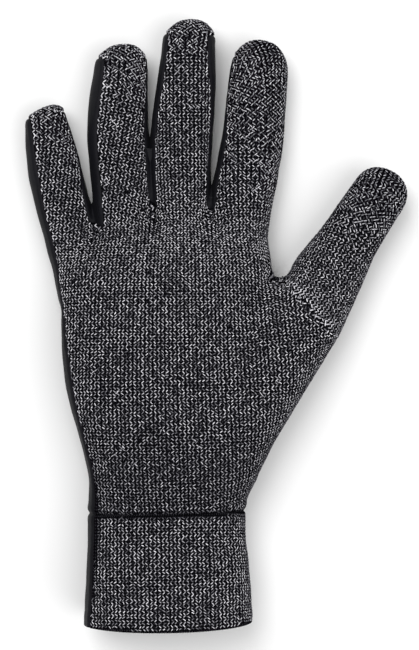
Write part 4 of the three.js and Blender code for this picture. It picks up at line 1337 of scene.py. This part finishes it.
for name in PANEL_NAMES:
    face = fleck_material if name in FLECKED else black_material
    panel_piece(name, [face, lining_material])
tick_piece("palm", "palm_panel", yarn_material, 11, high=KNUCKLE_LOW)
tick_piece("fingers", "palm_panel", yarn_material, 11, low=KNUCKLE_LOW)
tick_piece("thumb", "thumb_front", yarn_material, 12)
tick_piece("cuff", "cuff_front", yarn_material, 13)

# ---- stage: floor, light and camera
PHOTO_WIDTH, PHOTO_HEIGHT = 419, 650
MM_PER_PIXEL = 0.409
GLOVE_MIDDLE_X = 215
CAMERA_HEIGHT = 820
OUTLINE_HEIGHT = 15
CAMERA_ALONG = -1.2
SENSOR = 36
FLOOR_HALF = 3.0
FLOOR_DROP = 0.0002
SKY_STRENGTH = 0.45


def floor():
    corners = FLOOR_HALF * np.array([[-1, -1, 0], [1, -1, 0], [1, 1, 0], [-1, 1, 0]])
    mesh = make_mesh("floor", corners, [(0, 1, 2, 3)])
    piece = add_object("floor", mesh)
    piece.location.z = -FLOOR_DROP
    shader = Shader("pale_floor")
    tone = shader.noise(shader.position(), 6.0, 2.0)
    colour = shader.ramp(tone, (0.3, (0.83, 0.83, 0.83)), (0.7, (0.86, 0.86, 0.86)))
    mesh.materials.append(shader.set(base=colour, rough=0.9, specular=0.1))


def area_light(name, place, size, power):
    """Square light that faces the glove."""
    light = bpy.data.lights.new(name, "AREA")
    light.shape = "SQUARE"
    light.size = size
    light.energy = power
    lamp = add_object(name, light)
    lamp.location = place
    way = -np.array(place)
    flat = math.hypot(way[0], way[1])
    lamp.rotation_euler = (math.atan2(flat, -way[2]), 0, math.atan2(way[1], way[0]) - math.pi / 2)


def world():
    sky = bpy.data.worlds.new("studio")
    sky.use_nodes = True
    background = sky.node_tree.nodes["Background"]
    background.inputs["Color"].default_value = (1, 1, 1, 1)
    background.inputs["Strength"].default_value = SKY_STRENGTH
    bpy.context.scene.world = sky
    bpy.context.scene.view_settings.view_transform = "Standard"


def camera():
    data = bpy.data.cameras.new("camera")
    data.sensor_width = SENSOR
    data.lens = SENSOR * (CAMERA_HEIGHT - OUTLINE_HEIGHT) / (PHOTO_HEIGHT * MM_PER_PIXEL)
    data.clip_start = 0.01
    eye = add_object("camera", data)
    aside = (PHOTO_WIDTH / 2 - GLOVE_MIDDLE_X) * MM_PER_PIXEL
    eye.location = (aside * MM, CAMERA_ALONG * MM, CAMERA_HEIGHT * MM)
    bpy.context.scene.camera = eye


floor()
world()
area_light("key", (-0.35, 0.5, 1.3), 0.9, 15)
area_light("fill", (0.6, -0.3, 1.1), 1.0, 8)
camera()
